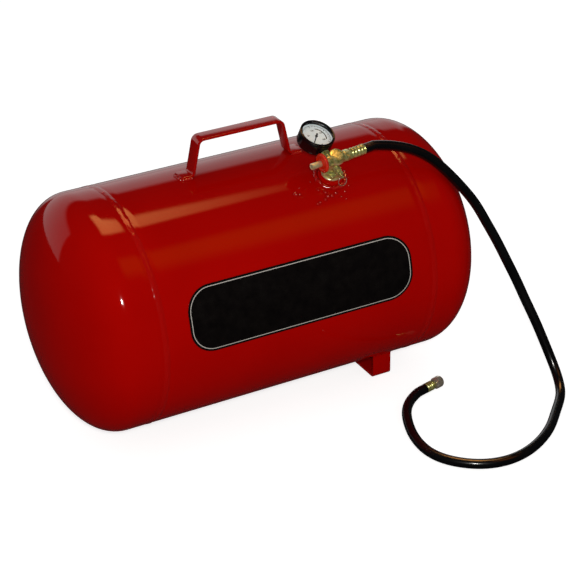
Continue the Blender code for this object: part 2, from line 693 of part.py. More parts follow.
def fill_valve(nickel, brass):
    """Tyre-valve stem on the end of the spindle, with its core and pin."""
    start = knob_face() + KNOB_THICKNESS + TOUCH_GAP
    end = start + FILL_LENGTH
    socket_end = SPINDLE_TIP + FILL_SOCKET_FLOOR
    socket = SPINDLE_RADIUS + TOUCH_GAP
    turned("fill_valve_body", [
        (start, socket),
        (start, FILL_RADIUS),
        (end - 0.6 * MM, FILL_RADIUS),
        (end, FILL_RADIUS - 0.6 * MM),
        (end, FILL_BORE_RADIUS),
        (socket_end, FILL_BORE_RADIUS),
        (socket_end, socket),
    ], VALVE_FRAME, nickel, SMALL_SEGMENTS)
    core_end = end - CORE_INSET
    core_start = core_end - CORE_LENGTH
    core = sleeve(core_start, core_end, CORE_BORE_RADIUS, FILL_BORE_RADIUS - TOUCH_GAP)
    turned("fill_valve_core", core, VALVE_FRAME, brass, SMALL_SEGMENTS)
    seal_end = core_start - TOUCH_GAP
    turned("fill_valve_pin", stepped(
        (seal_end - PIN_SEAL_LENGTH, seal_end, PIN_SEAL_RADIUS),
        (seal_end, core_end + PIN_PROUD, PIN_RADIUS),
    ), VALVE_FRAME, nickel, 12)


# ---------------------------------------------------------------- hose and end fittings

def crimped_ferrule(name, start, length, radius, crimps, frame, brass):
    """Sleeve with evenly spaced crimp grooves."""
    outline = [(start, NIPPLE_TAIL_RADIUS + TOUCH_GAP), (start, radius)]
    pitch = length / (crimps + 1)
    for step in range(crimps):
        middle = start + pitch * (step + 1)
        for offset, depth in ((-0.3, 0.0), (-0.15, CRIMP_DEPTH), (0.15, CRIMP_DEPTH), (0.3, 0.0)):
            outline.append((middle + offset * pitch, radius - depth))
    outline += [(start + length, radius), (start + length, NIPPLE_TAIL_RADIUS + TOUCH_GAP)]
    turned(name, outline, frame, brass, SMALL_SEGMENTS)


def hose_nipple(brass):
    """Hexagon fitting with a thread into the bar and a tail into the ferrule."""
    face = BAR_HOSE_END + TOUCH_GAP
    hex_end = face + NIPPLE_HEX_LENGTH
    tail_end = hex_end + TOUCH_GAP + FERRULE_LENGTH - TAIL_INSET
    body = turned("hose_nipple", stepped(
        (face - NIPPLE_THREAD_LENGTH, face + 2.0 * MM, NIPPLE_THREAD_RADIUS),
        (face + 2.0 * MM, tail_end, NIPPLE_TAIL_RADIUS),
    ), HOSE_PORT_FRAME, brass, SMALL_SEGMENTS)
    hexagon_frame = HOSE_PORT_FRAME @ shift(z=face)
    join(body, extruded("nipple_hexagon", hexagon(NIPPLE_HEX), NIPPLE_HEX_LENGTH, hexagon_frame))
    bore = rod(face - NIPPLE_THREAD_LENGTH - MM, tail_end + MM, NIPPLE_BORE_RADIUS)
    cut(body, turned("nipple_bore", bore, HOSE_PORT_FRAME, None, SMALL_SEGMENTS))
    ferrule_start = hex_end + TOUCH_GAP
    crimped_ferrule("hose_ferrule", ferrule_start, FERRULE_LENGTH, FERRULE_RADIUS, 4, HOSE_PORT_FRAME, brass)


def hose(rubber):
    """From the ferrule over the end of the tank, down to the floor and back in a hook."""
    exit_height = BAR_HOSE_END + NIPPLE_HEX_LENGTH + FERRULE_LENGTH + 3 * TOUCH_GAP
    outlet = [HOSE_PORT_FRAME @ Vector((0.0, 0.0, exit_height + HOSE_LEAD * step)) for step in range(3)]
    inlet = [CHUCK_FRAME @ Vector((0.0, 0.0, -HOSE_LEAD * step)) for step in range(2)]
    stops = outlet[1:] + [Vector(point) for point in HOSE_ROUTE] + inlet[1:]
    route = outlet[:1] + smooth_route(stops, HOSE_POINTS) + inlet[:1]
    tube("hose", route, HOSE_RADIUS, Matrix(), rubber, 3)


def chuck(brass, nickel, rubber):
    """Ferrule, nipple and tyre chuck on the free end, with its seal, pin and spring."""
    start = TOUCH_GAP
    crimped_ferrule("tip_ferrule", start, TIP_FERRULE_LENGTH, TIP_FERRULE_RADIUS, 3, CHUCK_FRAME, brass)
    collar_start = start + TIP_FERRULE_LENGTH + TOUCH_GAP
    collar_end = collar_start + TIP_COLLAR_LENGTH
    turned("tip_nipple", [
        (start + TAIL_INSET, NIPPLE_BORE_RADIUS),
        (start + TAIL_INSET, NIPPLE_TAIL_RADIUS),
        (collar_start, NIPPLE_TAIL_RADIUS),
        (collar_start, TIP_COLLAR_RADIUS),
        (collar_end, TIP_COLLAR_RADIUS),
        (collar_end, NIPPLE_BORE_RADIUS),
    ], CHUCK_FRAME, brass, SMALL_SEGMENTS)
    base = collar_end + TOUCH_GAP
    end = base + CHUCK_LENGTH
    floor = base + CHUCK_FLOOR
    chamber = CHUCK_RADIUS - CHUCK_WALL
    turned("chuck_body", [
        (base, NIPPLE_BORE_RADIUS),
        (base, CHUCK_RADIUS - 1.5 * MM),
        (base + 1.5 * MM, CHUCK_RADIUS),
        (end - 3.0 * MM, CHUCK_RADIUS),
        (end - 0.9 * MM, CHUCK_RADIUS - 0.9 * MM),
        (end, CHUCK_RADIUS - 2.6 * MM),
        (end, CHUCK_MOUTH_RADIUS),
        (end - CHUCK_LIP, CHUCK_MOUTH_RADIUS),
        (end - CHUCK_LIP, chamber),
        (floor, chamber),
        (floor, NIPPLE_BORE_RADIUS),
    ], CHUCK_FRAME, nickel)
    seal_end = floor + CHUCK_SEAT_HEIGHT
    seal = sleeve(seal_end - CHUCK_SEAL_LENGTH, seal_end, CHUCK_SEAL_BORE, chamber - TOUCH_GAP)
    turned("chuck_seal", seal, CHUCK_FRAME, rubber, SMALL_SEGMENTS)
    flange_end = seal_end - CHUCK_SEAL_LENGTH - TOUCH_GAP
    pin_end = seal_end + 0.2 * MM
    turned("chuck_pin", stepped(
        (flange_end - 0.6 * MM, flange_end, CHUCK_PIN_FLANGE),
        (flange_end, pin_end, CHUCK_PIN_RADIUS),
    ), CHUCK_FRAME, brass, 12)
    coil_end = flange_end - 0.6 * MM - CHUCK_PIN_TRAVEL - 0.2 * MM - SPRING_WIRE
    coil = helix(floor + TOUCH_GAP + SPRING_WIRE, coil_end, CHUCK_PIN_FLANGE - 2 * SPRING_WIRE, 1.2)
    tube("chuck_spring", coil, SPRING_WIRE, CHUCK_FRAME, nickel, 1)


# ---------------------------------------------------------------- gauge

def gauge_stem(brass):
    """Thread, hexagon and neck, ending in a block inside the case."""
    face = GAUGE_PORT_FACE + TOUCH_GAP
    thread_start = GAUGE_PORT_FLOOR + TOUCH_GAP
    neck_end = GAUGE_DISTANCE + BLOCK_START + MM
    stem_frame = GAUGE_FRAME @ shift(y=-GAUGE_DISTANCE) @ turn(-RIGHT_ANGLE, "X")
    body = turned("gauge_stem", stepped(
        (thread_start, face + MM, GAUGE_THREAD_RADIUS),
        (face + MM, neck_end, GAUGE_NECK_RADIUS),
    ), stem_frame, brass, SMALL_SEGMENTS)
    hexagon_length = GAUGE_DISTANCE - CASE_RADIUS - TOUCH_GAP - face
    hexagon_frame = stem_frame @ shift(z=face)
    join(body, extruded("gauge_hexagon", hexagon(GAUGE_HEX), hexagon_length, hexagon_frame))
    half = BLOCK_HALF_WIDTH
    block_end = BLOCK_START + BLOCK_LENGTH
    outline = [(-half, BLOCK_START), (half, BLOCK_START), (half, block_end), (-half, block_end)]
    block_floor = CASE_BACK + CASE_WALL + MM
    block_depth = PLATE_FLOOR - TOUCH_GAP - block_floor
    block = extruded("gauge_block", outline, block_depth, GAUGE_FRAME @ shift(z=block_floor))
    join(body, block)
    bore = rod(thread_start - MM, neck_end - 2.0 * MM, 1.2 * MM)
    cut(body, turned("gauge_stem_bore", bore, stem_frame, None, 12))


def gauge_case(plastic, glass, enamel):
    """Cup, bezel, lens and dial."""
    front = CASE_FRONT
    inner = CASE_RADIUS - CASE_WALL
    case = turned("gauge_case", [
        (CASE_BACK, 0.0),
        (CASE_BACK, CASE_RADIUS - CASE_WALL / 2),
        (CASE_BACK + CASE_WALL / 2, CASE_RADIUS),
        (front, CASE_RADIUS),
        (front, inner),
        (CASE_BACK + CASE_WALL, inner),
        (CASE_BACK + CASE_WALL, 0.0),
    ], GAUGE_FRAME, plastic, 32)
    wall_frame = GAUGE_FRAME @ shift(y=-CASE_RADIUS) @ turn(-RIGHT_ANGLE, "X")
    hole = rod(-3.0 * MM, 3.0 * MM, GAUGE_NECK_RADIUS + TOUCH_GAP)
    cut(case, turned("gauge_neck_hole", hole, wall_frame, None, SMALL_SEGMENTS))
    rim_start = front + TOUCH_GAP
    rim_end = rim_start + BEZEL_HEIGHT
    turned("gauge_bezel", [
        (rim_start, CASE_RADIUS),
        (rim_end - 0.6 * MM, CASE_RADIUS),
        (rim_end, CASE_RADIUS - 0.6 * MM),
        (rim_end, BEZEL_BORE + 0.4 * MM),
        (rim_end - 0.4 * MM, BEZEL_BORE),
        (rim_start, BEZEL_BORE),
    ], GAUGE_FRAME, plastic, 32)
    lens = rod(front - LENS_THICKNESS, front, inner - TOUCH_GAP)
    turned("gauge_lens", lens, GAUGE_FRAME, glass, 32)
    dial_end = DIAL_HEIGHT + DIAL_THICKNESS
    dial = sleeve(DIAL_HEIGHT, dial_end, ARBOR_RADIUS + 2 * TOUCH_GAP, inner - TOUCH_GAP)
    turned("gauge_dial", dial, GAUGE_FRAME, enamel, 32)


def gauge_pointer(ink):
    """Pointer, hub, arbor and pinion in one piece on the dial's axis."""
    hub_start = DIAL_HEIGHT + DIAL_THICKNESS + 0.6 * MM
    pinion_end = SECTOR_FLOOR + SECTOR_THICKNESS
    pointer_frame = GAUGE_FRAME @ turn(POINTER_ZERO, "Z")
    body = turned("gauge_pointer", stepped(
        (SECTOR_FLOOR - 0.6 * MM, SECTOR_FLOOR, ARBOR_RADIUS),
        (SECTOR_FLOOR, pinion_end, PINION_RADIUS),
        (pinion_end, hub_start, ARBOR_RADIUS),
        (hub_start, hub_start + 0.9 * MM, 1.8 * MM),
    ), pointer_frame, ink, SMALL_SEGMENTS)
    blade = [
        (-POINTER_TAIL, -0.7 * MM),
        (POINTER_LENGTH - 2.0 * MM, -0.45 * MM),
        (POINTER_LENGTH, 0.0),
        (POINTER_LENGTH - 2.0 * MM, 0.45 * MM),
        (-POINTER_TAIL, 0.7 * MM),
    ]
    blade_frame = pointer_frame @ shift(z=hub_start + 0.2 * MM)
    join(body, extruded("pointer_blade", blade, 0.4 * MM, blade_frame))


def gauge_movement(brass, steel):
    """Plate with a pivot post, sector and curved pressure tube."""
    reach = PINION_RADIUS + TOUCH_GAP + SECTOR_RADIUS
    plate_start = BLOCK_START + 1.5 * MM
    plate_outline = [
        (-BLOCK_HALF_WIDTH, plate_start),
        (BLOCK_HALF_WIDTH, plate_start),
        (reach + 2.5 * MM, -2.5 * MM),
        (reach + 2.5 * MM, 2.5 * MM),
        (-2.5 * MM, 2.5 * MM),
    ]
    plate_frame = GAUGE_FRAME @ shift(z=PLATE_FLOOR)
    plate = extruded("gauge_plate", plate_outline, PLATE_THICKNESS, plate_frame, brass)
    arbor_hole = rod(PLATE_FLOOR - MM, PLATE_FLOOR + 2 * MM, ARBOR_RADIUS + TOUCH_GAP)
    cut(plate, turned("arbor_hole", arbor_hole, GAUGE_FRAME, None, 12))
    pivot_frame = GAUGE_FRAME @ shift(x=reach)
    post = rod(SECTOR_FLOOR - 0.4 * MM, PLATE_FLOOR + 0.4 * MM, PIVOT_RADIUS)
    join(plate, turned("sector_post", post, pivot_frame, None, 12))
    rest = math.pi - SECTOR_SWING / 2
    outline = []
    for step in range(9):
        angle = rest - SECTOR_HALF_ANGLE + 2 * SECTOR_HALF_ANGLE * step / 8
        outline.append((SECTOR_RADIUS * math.cos(angle), SECTOR_RADIUS * math.sin(angle)))
    for step in range(7):
        angle = rest + RIGHT_ANGLE + math.pi * step / 6
        outline.append((SECTOR_HUB_RADIUS * math.cos(angle), SECTOR_HUB_RADIUS * math.sin(angle)))
    sector = extruded("gauge_sector", outline, SECTOR_THICKNESS, pivot_frame @ shift(z=SECTOR_FLOOR), brass)
    hole = rod(SECTOR_FLOOR - MM, SECTOR_FLOOR + SECTOR_THICKNESS + 0.7 * MM, PIVOT_RADIUS + TOUCH_GAP)
    cut(sector, turned("sector_hole", hole, pivot_frame, None, 12))
    bourdon_tube(steel)


def bourdon_tube(steel):
    """Flat tube bent round the movement, from the block to its free end."""
    builder = bmesh.new()
    start = math.radians(-72.0)
    inner = BOURDON_RADIUS - 0.8 * MM
    outer = BOURDON_RADIUS + 0.8 * MM
    section = []
    for radius, height in ((inner, -3.0 * MM), (outer, -3.0 * MM), (outer, 2.0 * MM), (inner, 2.0 * MM)):
        point = (radius * math.cos(start), radius * math.sin(start), height)
        section.append(builder.verts.new(point))
    face = builder.faces.new(section)
    bmesh.ops.spin(
        builder, geom=[face], cent=(0, 0, 0), axis=(0, 0, 1), angle=math.radians(255.0), steps=20,
    )
    mesh_object("gauge_bourdon", builder, GAUGE_FRAME, steel)


# ---------------------------------------------------------------- safety valve

def safety_valve(brass, steel):
    """Body, spring-loaded poppet with an eye, and the pull ring that hangs in the eye."""
    face = SAFETY_PORT_FACE + TOUCH_GAP
    thread_start = SAFETY_PORT_FLOOR + TOUCH_GAP
    body = turned("safety_body", stepped(
        (thread_start, face + MM, SAFETY_THREAD_RADIUS),
        (face + MM, SAFETY_BARREL_END, SAFETY_BARREL_RADIUS),
    ), SAFETY_FRAME, brass, SMALL_SEGMENTS)
    hexagon_frame = SAFETY_FRAME @ shift(z=face)
    join(body, extruded("safety_hexagon", hexagon(SAFETY_HEX), SAFETY_HEX_LENGTH, hexagon_frame))
    seat = thread_start + SAFETY_SEAT_LENGTH
    chamber_end = SAFETY_BARREL_END - SAFETY_CAP
    cut(body, turned("safety_chamber", stepped(
        (thread_start - MM, seat, SAFETY_INLET_RADIUS),
        (seat, chamber_end, SAFETY_CHAMBER_RADIUS),
        (chamber_end, SAFETY_BARREL_END + MM, POPPET_STEM_RADIUS + TOUCH_GAP),
    ), SAFETY_FRAME, None, SMALL_SEGMENTS))
    poppet_start = seat + TOUCH_GAP
    poppet_end = poppet_start + POPPET_LENGTH
    poppet = turned("safety_poppet", stepped(
        (poppet_start, poppet_end, POPPET_RADIUS),
        (poppet_end, EYE_DISTANCE - EYE_RADIUS + 0.5 * MM, POPPET_STEM_RADIUS),
    ), SAFETY_FRAME, brass, SMALL_SEGMENTS)
    eye_frame = SAFETY_FRAME @ shift(z=EYE_DISTANCE) @ turn(RIGHT_ANGLE, "Y")
    half = EYE_THICKNESS / 2
    join(poppet, turned("eye_disc", rod(-half, half, EYE_RADIUS), eye_frame, None, SMALL_SEGMENTS))
    hole = rod(-half - MM, half + MM, PULL_RING_WIRE + 0.4 * MM)
    cut(poppet, turned("eye_hole", hole, eye_frame, None, SMALL_SEGMENTS))
    coil_start = poppet_end + SAFETY_LIFT + TOUCH_GAP + SPRING_WIRE
    coil_end = chamber_end - TOUCH_GAP - SPRING_WIRE
    coil = helix(coil_start, coil_end, SAFETY_CHAMBER_RADIUS - 2 * SPRING_WIRE, 3)
    tube("safety_spring", coil, SPRING_WIRE, SAFETY_FRAME, steel, 1)
    pull_ring(steel)


def pull_ring(steel):
    """Wire ring that hangs plumb from the middle of the eye."""
    origin = SAFETY_FRAME @ Vector((0.0, 0.0, EYE_DISTANCE))
    across = SAFETY_FRAME.to_3x3() @ Vector((1.0, 0.0, 0.0))
    down = (Vector((0.0, 0.0, -1.0)) + across * across.z).normalized()
    normal = across.cross(down)
    frame = Matrix((across, down, normal)).transposed().to_4x4()
    frame.translation = origin
    builder = bmesh.new()
    section = []
    for step in range(6):
        angle = math.tau * step / 6
        radius = PULL_RING_RADIUS + PULL_RING_WIRE * math.cos(angle)
        section.append(builder.verts.new((radius, PULL_RING_RADIUS, PULL_RING_WIRE * math.sin(angle))))
    edges = [builder.edges.new((a, b)) for a, b in zip(section, section[1:] + section[:1])]
    bmesh.ops.spin(
        builder, geom=section + edges, cent=(0.0, PULL_RING_RADIUS, 0.0), axis=(0, 0, 1),
        angle=math.tau, steps=24, use_merge=True,
    )
    mesh_object("pull_ring", builder, frame, steel)


# ---------------------------------------------------------------- the whole object

def build():
    clear_scene()
    red_paint = principled("red_gloss_paint", 0x9E, 0x0E, 0x04, 0.0, 0.25)
    black_ink = principled("black_label_vinyl", 0x0A, 0x08, 0x07, 0.0, 0.35)
    brass = principled("brass", 0xB8, 0x98, 0x5C, 1.0, 0.30)
    nickel = principled("nickel_plate", 0xC4, 0xBE, 0xB2, 1.0, 0.28)
    spring_steel = principled("spring_steel", 0xA8, 0xA8, 0xA6, 1.0, 0.30)
    knob_red = principled("red_knob_plastic", 0xC0, 0x18, 0x10, 0.0, 0.35)
    case_black = principled("black_case_plastic", 0x12, 0x12, 0x13, 0.0, 0.30)
    dial_white = principled("white_dial_enamel", 0xEE, 0xED, 0xE8, 0.0, 0.45)
    lens_clear = principled("clear_lens_plastic", 0xF2, 0xF5, 0xF5, 0.0, 0.05)
    hose_rubber = principled("black_hose_rubber", 0x1C, 0x1C, 0x1E, 0.0, 0.50)
    packing = principled("packing_rubber", 0x2A, 0x2A, 0x2A, 0.0, 0.70)

    tank_shell(red_paint)
    tank_head("head_right", TANK_FRAME, red_paint)
    tank_head("head_left", shift(z=AXIS_HEIGHT) @ turn(-RIGHT_ANGLE, "Y"), red_paint)
    girth_weld("weld_right", SEAM_X, red_paint)
    girth_weld("weld_left", -SEAM_X, red_paint)
    bung(red_paint)
    handle(red_paint)
    feet(red_paint)
    label(black_ink)
    manifold_body(brass)
    bonnet(brass, packing)
    shut_off_valve(brass, packing, knob_red)
    fill_valve(nickel, brass)
    hose_nipple(brass)
    hose(hose_rubber)
    chuck(brass, nickel, packing)
    gauge_stem(brass)
    gauge_case(case_black, lens_clear, dial_white)
    gauge_pointer(case_black)
    gauge_movement(brass, spring_steel)
    safety_valve(brass, spring_steel)


build()
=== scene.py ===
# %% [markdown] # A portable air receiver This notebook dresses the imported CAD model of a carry
# tank: a welded steel cylinder with dished ends, a strap handle, two feet, a brass manifold with
# a gauge, and a rubber air hose.

# %% Load the frame
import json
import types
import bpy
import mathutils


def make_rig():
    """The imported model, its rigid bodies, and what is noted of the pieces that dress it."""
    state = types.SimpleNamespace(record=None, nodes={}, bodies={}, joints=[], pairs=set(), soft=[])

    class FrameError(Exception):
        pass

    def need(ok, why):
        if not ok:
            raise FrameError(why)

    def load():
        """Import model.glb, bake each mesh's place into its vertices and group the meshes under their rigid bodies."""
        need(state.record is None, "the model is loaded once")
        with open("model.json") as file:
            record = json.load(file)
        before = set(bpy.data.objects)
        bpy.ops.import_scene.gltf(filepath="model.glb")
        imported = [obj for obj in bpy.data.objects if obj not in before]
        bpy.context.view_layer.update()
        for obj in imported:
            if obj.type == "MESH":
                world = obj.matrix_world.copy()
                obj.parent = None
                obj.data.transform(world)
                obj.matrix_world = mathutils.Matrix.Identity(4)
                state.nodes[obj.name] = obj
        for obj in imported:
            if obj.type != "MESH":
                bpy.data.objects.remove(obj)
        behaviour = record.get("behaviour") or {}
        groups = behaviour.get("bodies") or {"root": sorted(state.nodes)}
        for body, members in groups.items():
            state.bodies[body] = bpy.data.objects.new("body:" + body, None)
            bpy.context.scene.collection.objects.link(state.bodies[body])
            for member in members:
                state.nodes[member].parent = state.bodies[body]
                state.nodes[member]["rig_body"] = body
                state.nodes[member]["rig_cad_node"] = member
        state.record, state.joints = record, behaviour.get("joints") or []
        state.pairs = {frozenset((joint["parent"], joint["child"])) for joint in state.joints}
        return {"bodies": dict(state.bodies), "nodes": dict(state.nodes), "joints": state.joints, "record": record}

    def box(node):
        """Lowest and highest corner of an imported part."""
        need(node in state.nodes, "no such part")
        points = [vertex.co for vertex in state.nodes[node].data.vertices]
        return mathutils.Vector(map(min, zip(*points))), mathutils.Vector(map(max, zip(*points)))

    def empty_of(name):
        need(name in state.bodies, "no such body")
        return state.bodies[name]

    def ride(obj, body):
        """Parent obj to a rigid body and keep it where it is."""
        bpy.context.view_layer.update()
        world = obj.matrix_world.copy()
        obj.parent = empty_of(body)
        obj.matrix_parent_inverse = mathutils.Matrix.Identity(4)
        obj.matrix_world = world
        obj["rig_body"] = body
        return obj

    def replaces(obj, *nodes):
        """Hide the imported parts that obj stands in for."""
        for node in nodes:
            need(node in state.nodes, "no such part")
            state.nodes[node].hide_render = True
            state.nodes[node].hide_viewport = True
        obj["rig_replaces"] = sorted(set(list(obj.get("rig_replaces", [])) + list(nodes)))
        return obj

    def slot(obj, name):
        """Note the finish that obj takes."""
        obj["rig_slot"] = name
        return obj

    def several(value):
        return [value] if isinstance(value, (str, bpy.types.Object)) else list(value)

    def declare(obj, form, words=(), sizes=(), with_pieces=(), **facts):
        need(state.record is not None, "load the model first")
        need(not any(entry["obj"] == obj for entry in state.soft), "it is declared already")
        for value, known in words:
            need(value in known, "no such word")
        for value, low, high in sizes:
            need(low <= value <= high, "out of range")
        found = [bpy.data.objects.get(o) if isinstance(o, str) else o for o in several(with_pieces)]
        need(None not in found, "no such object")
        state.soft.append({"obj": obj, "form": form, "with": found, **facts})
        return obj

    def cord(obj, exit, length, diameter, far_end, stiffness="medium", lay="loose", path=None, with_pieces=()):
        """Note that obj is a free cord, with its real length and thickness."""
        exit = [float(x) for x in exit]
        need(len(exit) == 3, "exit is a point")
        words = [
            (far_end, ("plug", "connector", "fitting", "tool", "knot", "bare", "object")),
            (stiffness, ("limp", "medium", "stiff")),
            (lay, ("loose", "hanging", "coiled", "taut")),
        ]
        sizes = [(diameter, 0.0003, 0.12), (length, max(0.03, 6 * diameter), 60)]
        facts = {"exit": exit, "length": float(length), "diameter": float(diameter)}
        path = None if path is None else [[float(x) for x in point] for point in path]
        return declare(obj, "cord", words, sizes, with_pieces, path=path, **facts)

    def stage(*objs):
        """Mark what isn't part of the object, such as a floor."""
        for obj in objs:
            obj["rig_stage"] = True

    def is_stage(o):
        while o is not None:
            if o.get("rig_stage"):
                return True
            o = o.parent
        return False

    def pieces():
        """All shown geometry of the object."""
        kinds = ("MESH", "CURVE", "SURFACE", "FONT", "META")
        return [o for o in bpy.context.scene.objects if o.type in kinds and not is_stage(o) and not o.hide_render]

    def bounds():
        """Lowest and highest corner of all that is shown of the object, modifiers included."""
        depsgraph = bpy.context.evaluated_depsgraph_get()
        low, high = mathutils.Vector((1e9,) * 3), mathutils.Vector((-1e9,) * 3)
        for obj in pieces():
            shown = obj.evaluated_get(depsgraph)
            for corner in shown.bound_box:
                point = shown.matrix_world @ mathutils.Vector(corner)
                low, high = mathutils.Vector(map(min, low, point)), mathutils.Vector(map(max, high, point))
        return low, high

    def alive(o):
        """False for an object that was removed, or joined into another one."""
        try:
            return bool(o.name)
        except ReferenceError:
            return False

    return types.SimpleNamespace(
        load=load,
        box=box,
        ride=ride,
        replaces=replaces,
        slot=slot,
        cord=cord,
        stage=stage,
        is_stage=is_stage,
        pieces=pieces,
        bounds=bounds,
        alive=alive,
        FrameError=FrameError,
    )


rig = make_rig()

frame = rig.load()        # frame["bodies"], ["nodes"], ["joints"], ["record"]

import json
import math

import bpy
from mathutils import Matrix, Vector

cad_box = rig.bounds()
print("CAD box, mm:", [[round(v * 1000, 1) for v in corner] for corner in cad_box])

# %% [markdown]
# ## Axes and frames
# Each group of turned parts is easiest to draw upright, round the Z axis, and to lay into place
# afterwards. These frames repeat the construction of the CAD model: the post of the manifold leans
# forwards on the shoulder of the tank, and its ports point along and across the tank.

# %% Sizes and frames
MM = 0.001
RIGHT_ANGLE = math.pi / 2


def turn(degrees, axis):
    return Matrix.Rotation(math.radians(degrees), 4, axis)


def shift(x=0.0, y=0.0, z=0.0):
    return Matrix.Translation((x, y, z))


shell_low, shell_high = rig.box("tank_shell")
TANK_RADIUS = (shell_high.y - shell_low.y) / 2
AXIS_HEIGHT = shell_high.z - TANK_RADIUS
POST_X = 85.5 * MM
POST_LEAN = 25.0
POST_TWIST = 5.5
SEAT_HEIGHT = 5.0 * MM
BAR_HEIGHT = 28.0 * MM
SAFETY_HEIGHT = 15.5 * MM
GAUGE_PORT_X = -9.0 * MM
GAUGE_DISTANCE = 35.3 * MM
GAUGE_TILT = 7.0
CHUCK_PLACE = (187.4 * MM, -135.1 * MM, 7.9 * MM)
CHUCK_HEADING = 14.0

UPRIGHT = Matrix.Identity(4)
TANK = shift(z=AXIS_HEIGHT) @ turn(90, "Y")
SHOULDER = shift(POST_X, 0.0, AXIS_HEIGHT) @ turn(POST_LEAN, "X") @ shift(z=TANK_RADIUS)
MANIFOLD = SHOULDER @ shift(z=SEAT_HEIGHT) @ turn(POST_TWIST, "Z")
HOSE_PORT = MANIFOLD @ shift(z=BAR_HEIGHT) @ turn(90, "Y")
VALVE = MANIFOLD @ shift(z=BAR_HEIGHT) @ turn(-90, "Y")
SAFETY = MANIFOLD @ shift(z=SAFETY_HEIGHT) @ turn(90, "X")
GAUGE_ROOT = MANIFOLD @ shift(GAUGE_PORT_X, 0.0, BAR_HEIGHT)
GAUGE_PORT = GAUGE_ROOT @ turn(-90, "X")
GAUGE_STEM = GAUGE_ROOT @ turn(GAUGE_TILT, "Y") @ turn(-90, "X")
GAUGE = GAUGE_ROOT @ turn(GAUGE_TILT, "Y") @ shift(y=GAUGE_DISTANCE)
CHUCK = shift(*CHUCK_PLACE) @ turn(CHUCK_HEADING, "Z") @ turn(90, "Y")
print("tank radius", round(TANK_RADIUS * 1000, 1), "mm, axis", round(AXIS_HEIGHT * 1000, 1), "mm up")

# %% [markdown]
# ## Modelling helpers
# Most of these parts are turned on a lathe, so the main helper does the same: it draws half of a
# profile by extruding a single point, spins it round the axis, and rounds the corners with a Bevel
# modifier. Outlines, and the sizes that only they use, are in plain millimetres, as on a turner's
# sketch, and all other lengths are in metres. Everything is deselected first, because the loaded
# CAD pieces arrive selected.

# %% Helpers for selecting and finishing a mesh
DOUBLED = 0.0005 * MM     # points closer than this are one point


def deselect():
    bpy.ops.object.select_all(action="DESELECT")


def pick(piece):
    """Make one piece the only selected one, and the active one."""
    deselect()
    piece.select_set(True)
    bpy.context.view_layer.objects.active = piece


def settle(piece, placing=UPRIGHT):
    """Lay a piece into its frame, with its place in its mesh and its object at the origin."""
    pick(piece)
    piece.matrix_world = placing @ piece.matrix_world
    bpy.ops.object.transform_apply(location=True, rotation=True, scale=True)
    return piece


def apply_modifier(piece, kind, **values):
    """Add one modifier with its settings and apply it."""
    pick(piece)
    modifier = piece.modifiers.new(kind.title(), kind)
    for setting, value in values.items():
        setattr(modifier, setting, value)
    bpy.ops.object.modifier_apply(modifier=modifier.name)


def round_corners(piece, width, segments=2, angle=30.0):
    """Round every edge that turns by more than the angle."""
    apply_modifier(
        piece, "BEVEL", width=width, segments=segments, limit_method="ANGLE",
        angle_limit=math.radians(angle), use_clamp_overlap=True,
    )


def smooth(piece, angle=35.0):
    pick(piece)
    bpy.ops.object.shade_smooth_by_angle(angle=math.radians(angle))


def weld_doubles():
    """In edit mode: merge doubled points and select everything."""
    bpy.ops.mesh.select_all(action="SELECT")
    bpy.ops.mesh.remove_doubles(threshold=DOUBLED)
    bpy.ops.mesh.select_all(action="SELECT")


def mend():
    """In edit mode: merge doubled points, turn every face outwards, and leave edit mode."""
    weld_doubles()
    bpy.ops.mesh.normals_make_consistent(inside=False)
    bpy.ops.object.mode_set(mode="OBJECT")


# %% Helpers for drawing a line and turning it
def draw_line(name, points):
    """A new object, left in edit mode: one point, extruded from each point to the next."""
    deselect()
    bpy.ops.mesh.primitive_plane_add(size=MM, location=(0, 0, 0))
    piece = bpy.context.active_object
    piece.name = piece.data.name = name
    bpy.ops.object.mode_set(mode="EDIT")
    bpy.ops.mesh.select_all(action="SELECT")
    bpy.ops.mesh.merge(type="CENTER")
    bpy.ops.transform.translate(value=points[0])
    for before, after in zip(points, points[1:]):
        bpy.ops.mesh.extrude_vertices_move(TRANSFORM_OT_translate={"value": after - before})
    return piece


def lathe(name, outline, placing, segments=96, rounding=0.0):
    """Turn (height, radius) points round Z; an outline that leaves the axis closes on itself."""
    points = [Vector((radius * MM, 0.0, height * MM)) for height, radius in outline]
    if outline[0][1] > 0.0:
        points.append(points[0])
    piece = draw_line(name, points)
    weld_doubles()
    bpy.ops.mesh.spin(steps=segments, angle=math.tau, center=(0, 0, 0), axis=(0, 0, 1))
    mend()
    if rounding:
        round_corners(piece, rounding)
    smooth(piece)
    return settle(piece, placing)


# %% Helpers for tubes and whole pieces
def tube(name, line, radius, resolution=4, swell=None):
    """A closed mesh tube along a line; swell gives each point's share of the radius."""
    curve = bpy.data.curves.new(name, "CURVE")
    curve.dimensions = "3D"
    curve.bevel_depth = radius
    curve.bevel_resolution = resolution
    curve.use_fill_caps = True
    spline = curve.splines.new("POLY")
    spline.points.add(len(line) - 1)
    for count, (point, place) in enumerate(zip(spline.points, line)):
        point.co = (*place, 1.0)
        point.radius = swell(count) if swell else 1.0
    spline.use_smooth = True
    drawn = bpy.data.objects.new(name, curve)
    bpy.context.scene.collection.objects.link(drawn)
    pick(drawn)
    bpy.ops.object.convert(target="MESH")
    bpy.ops.object.mode_set(mode="EDIT")
    mend()
    return bpy.context.active_object


def join_pieces(name, pieces):
    """Make several finished pieces one object."""
    pick(pieces[0])
    for piece in pieces:
        piece.select_set(True)
    bpy.ops.object.join()
    pieces[0].name = pieces[0].data.name = name
    return pieces[0]


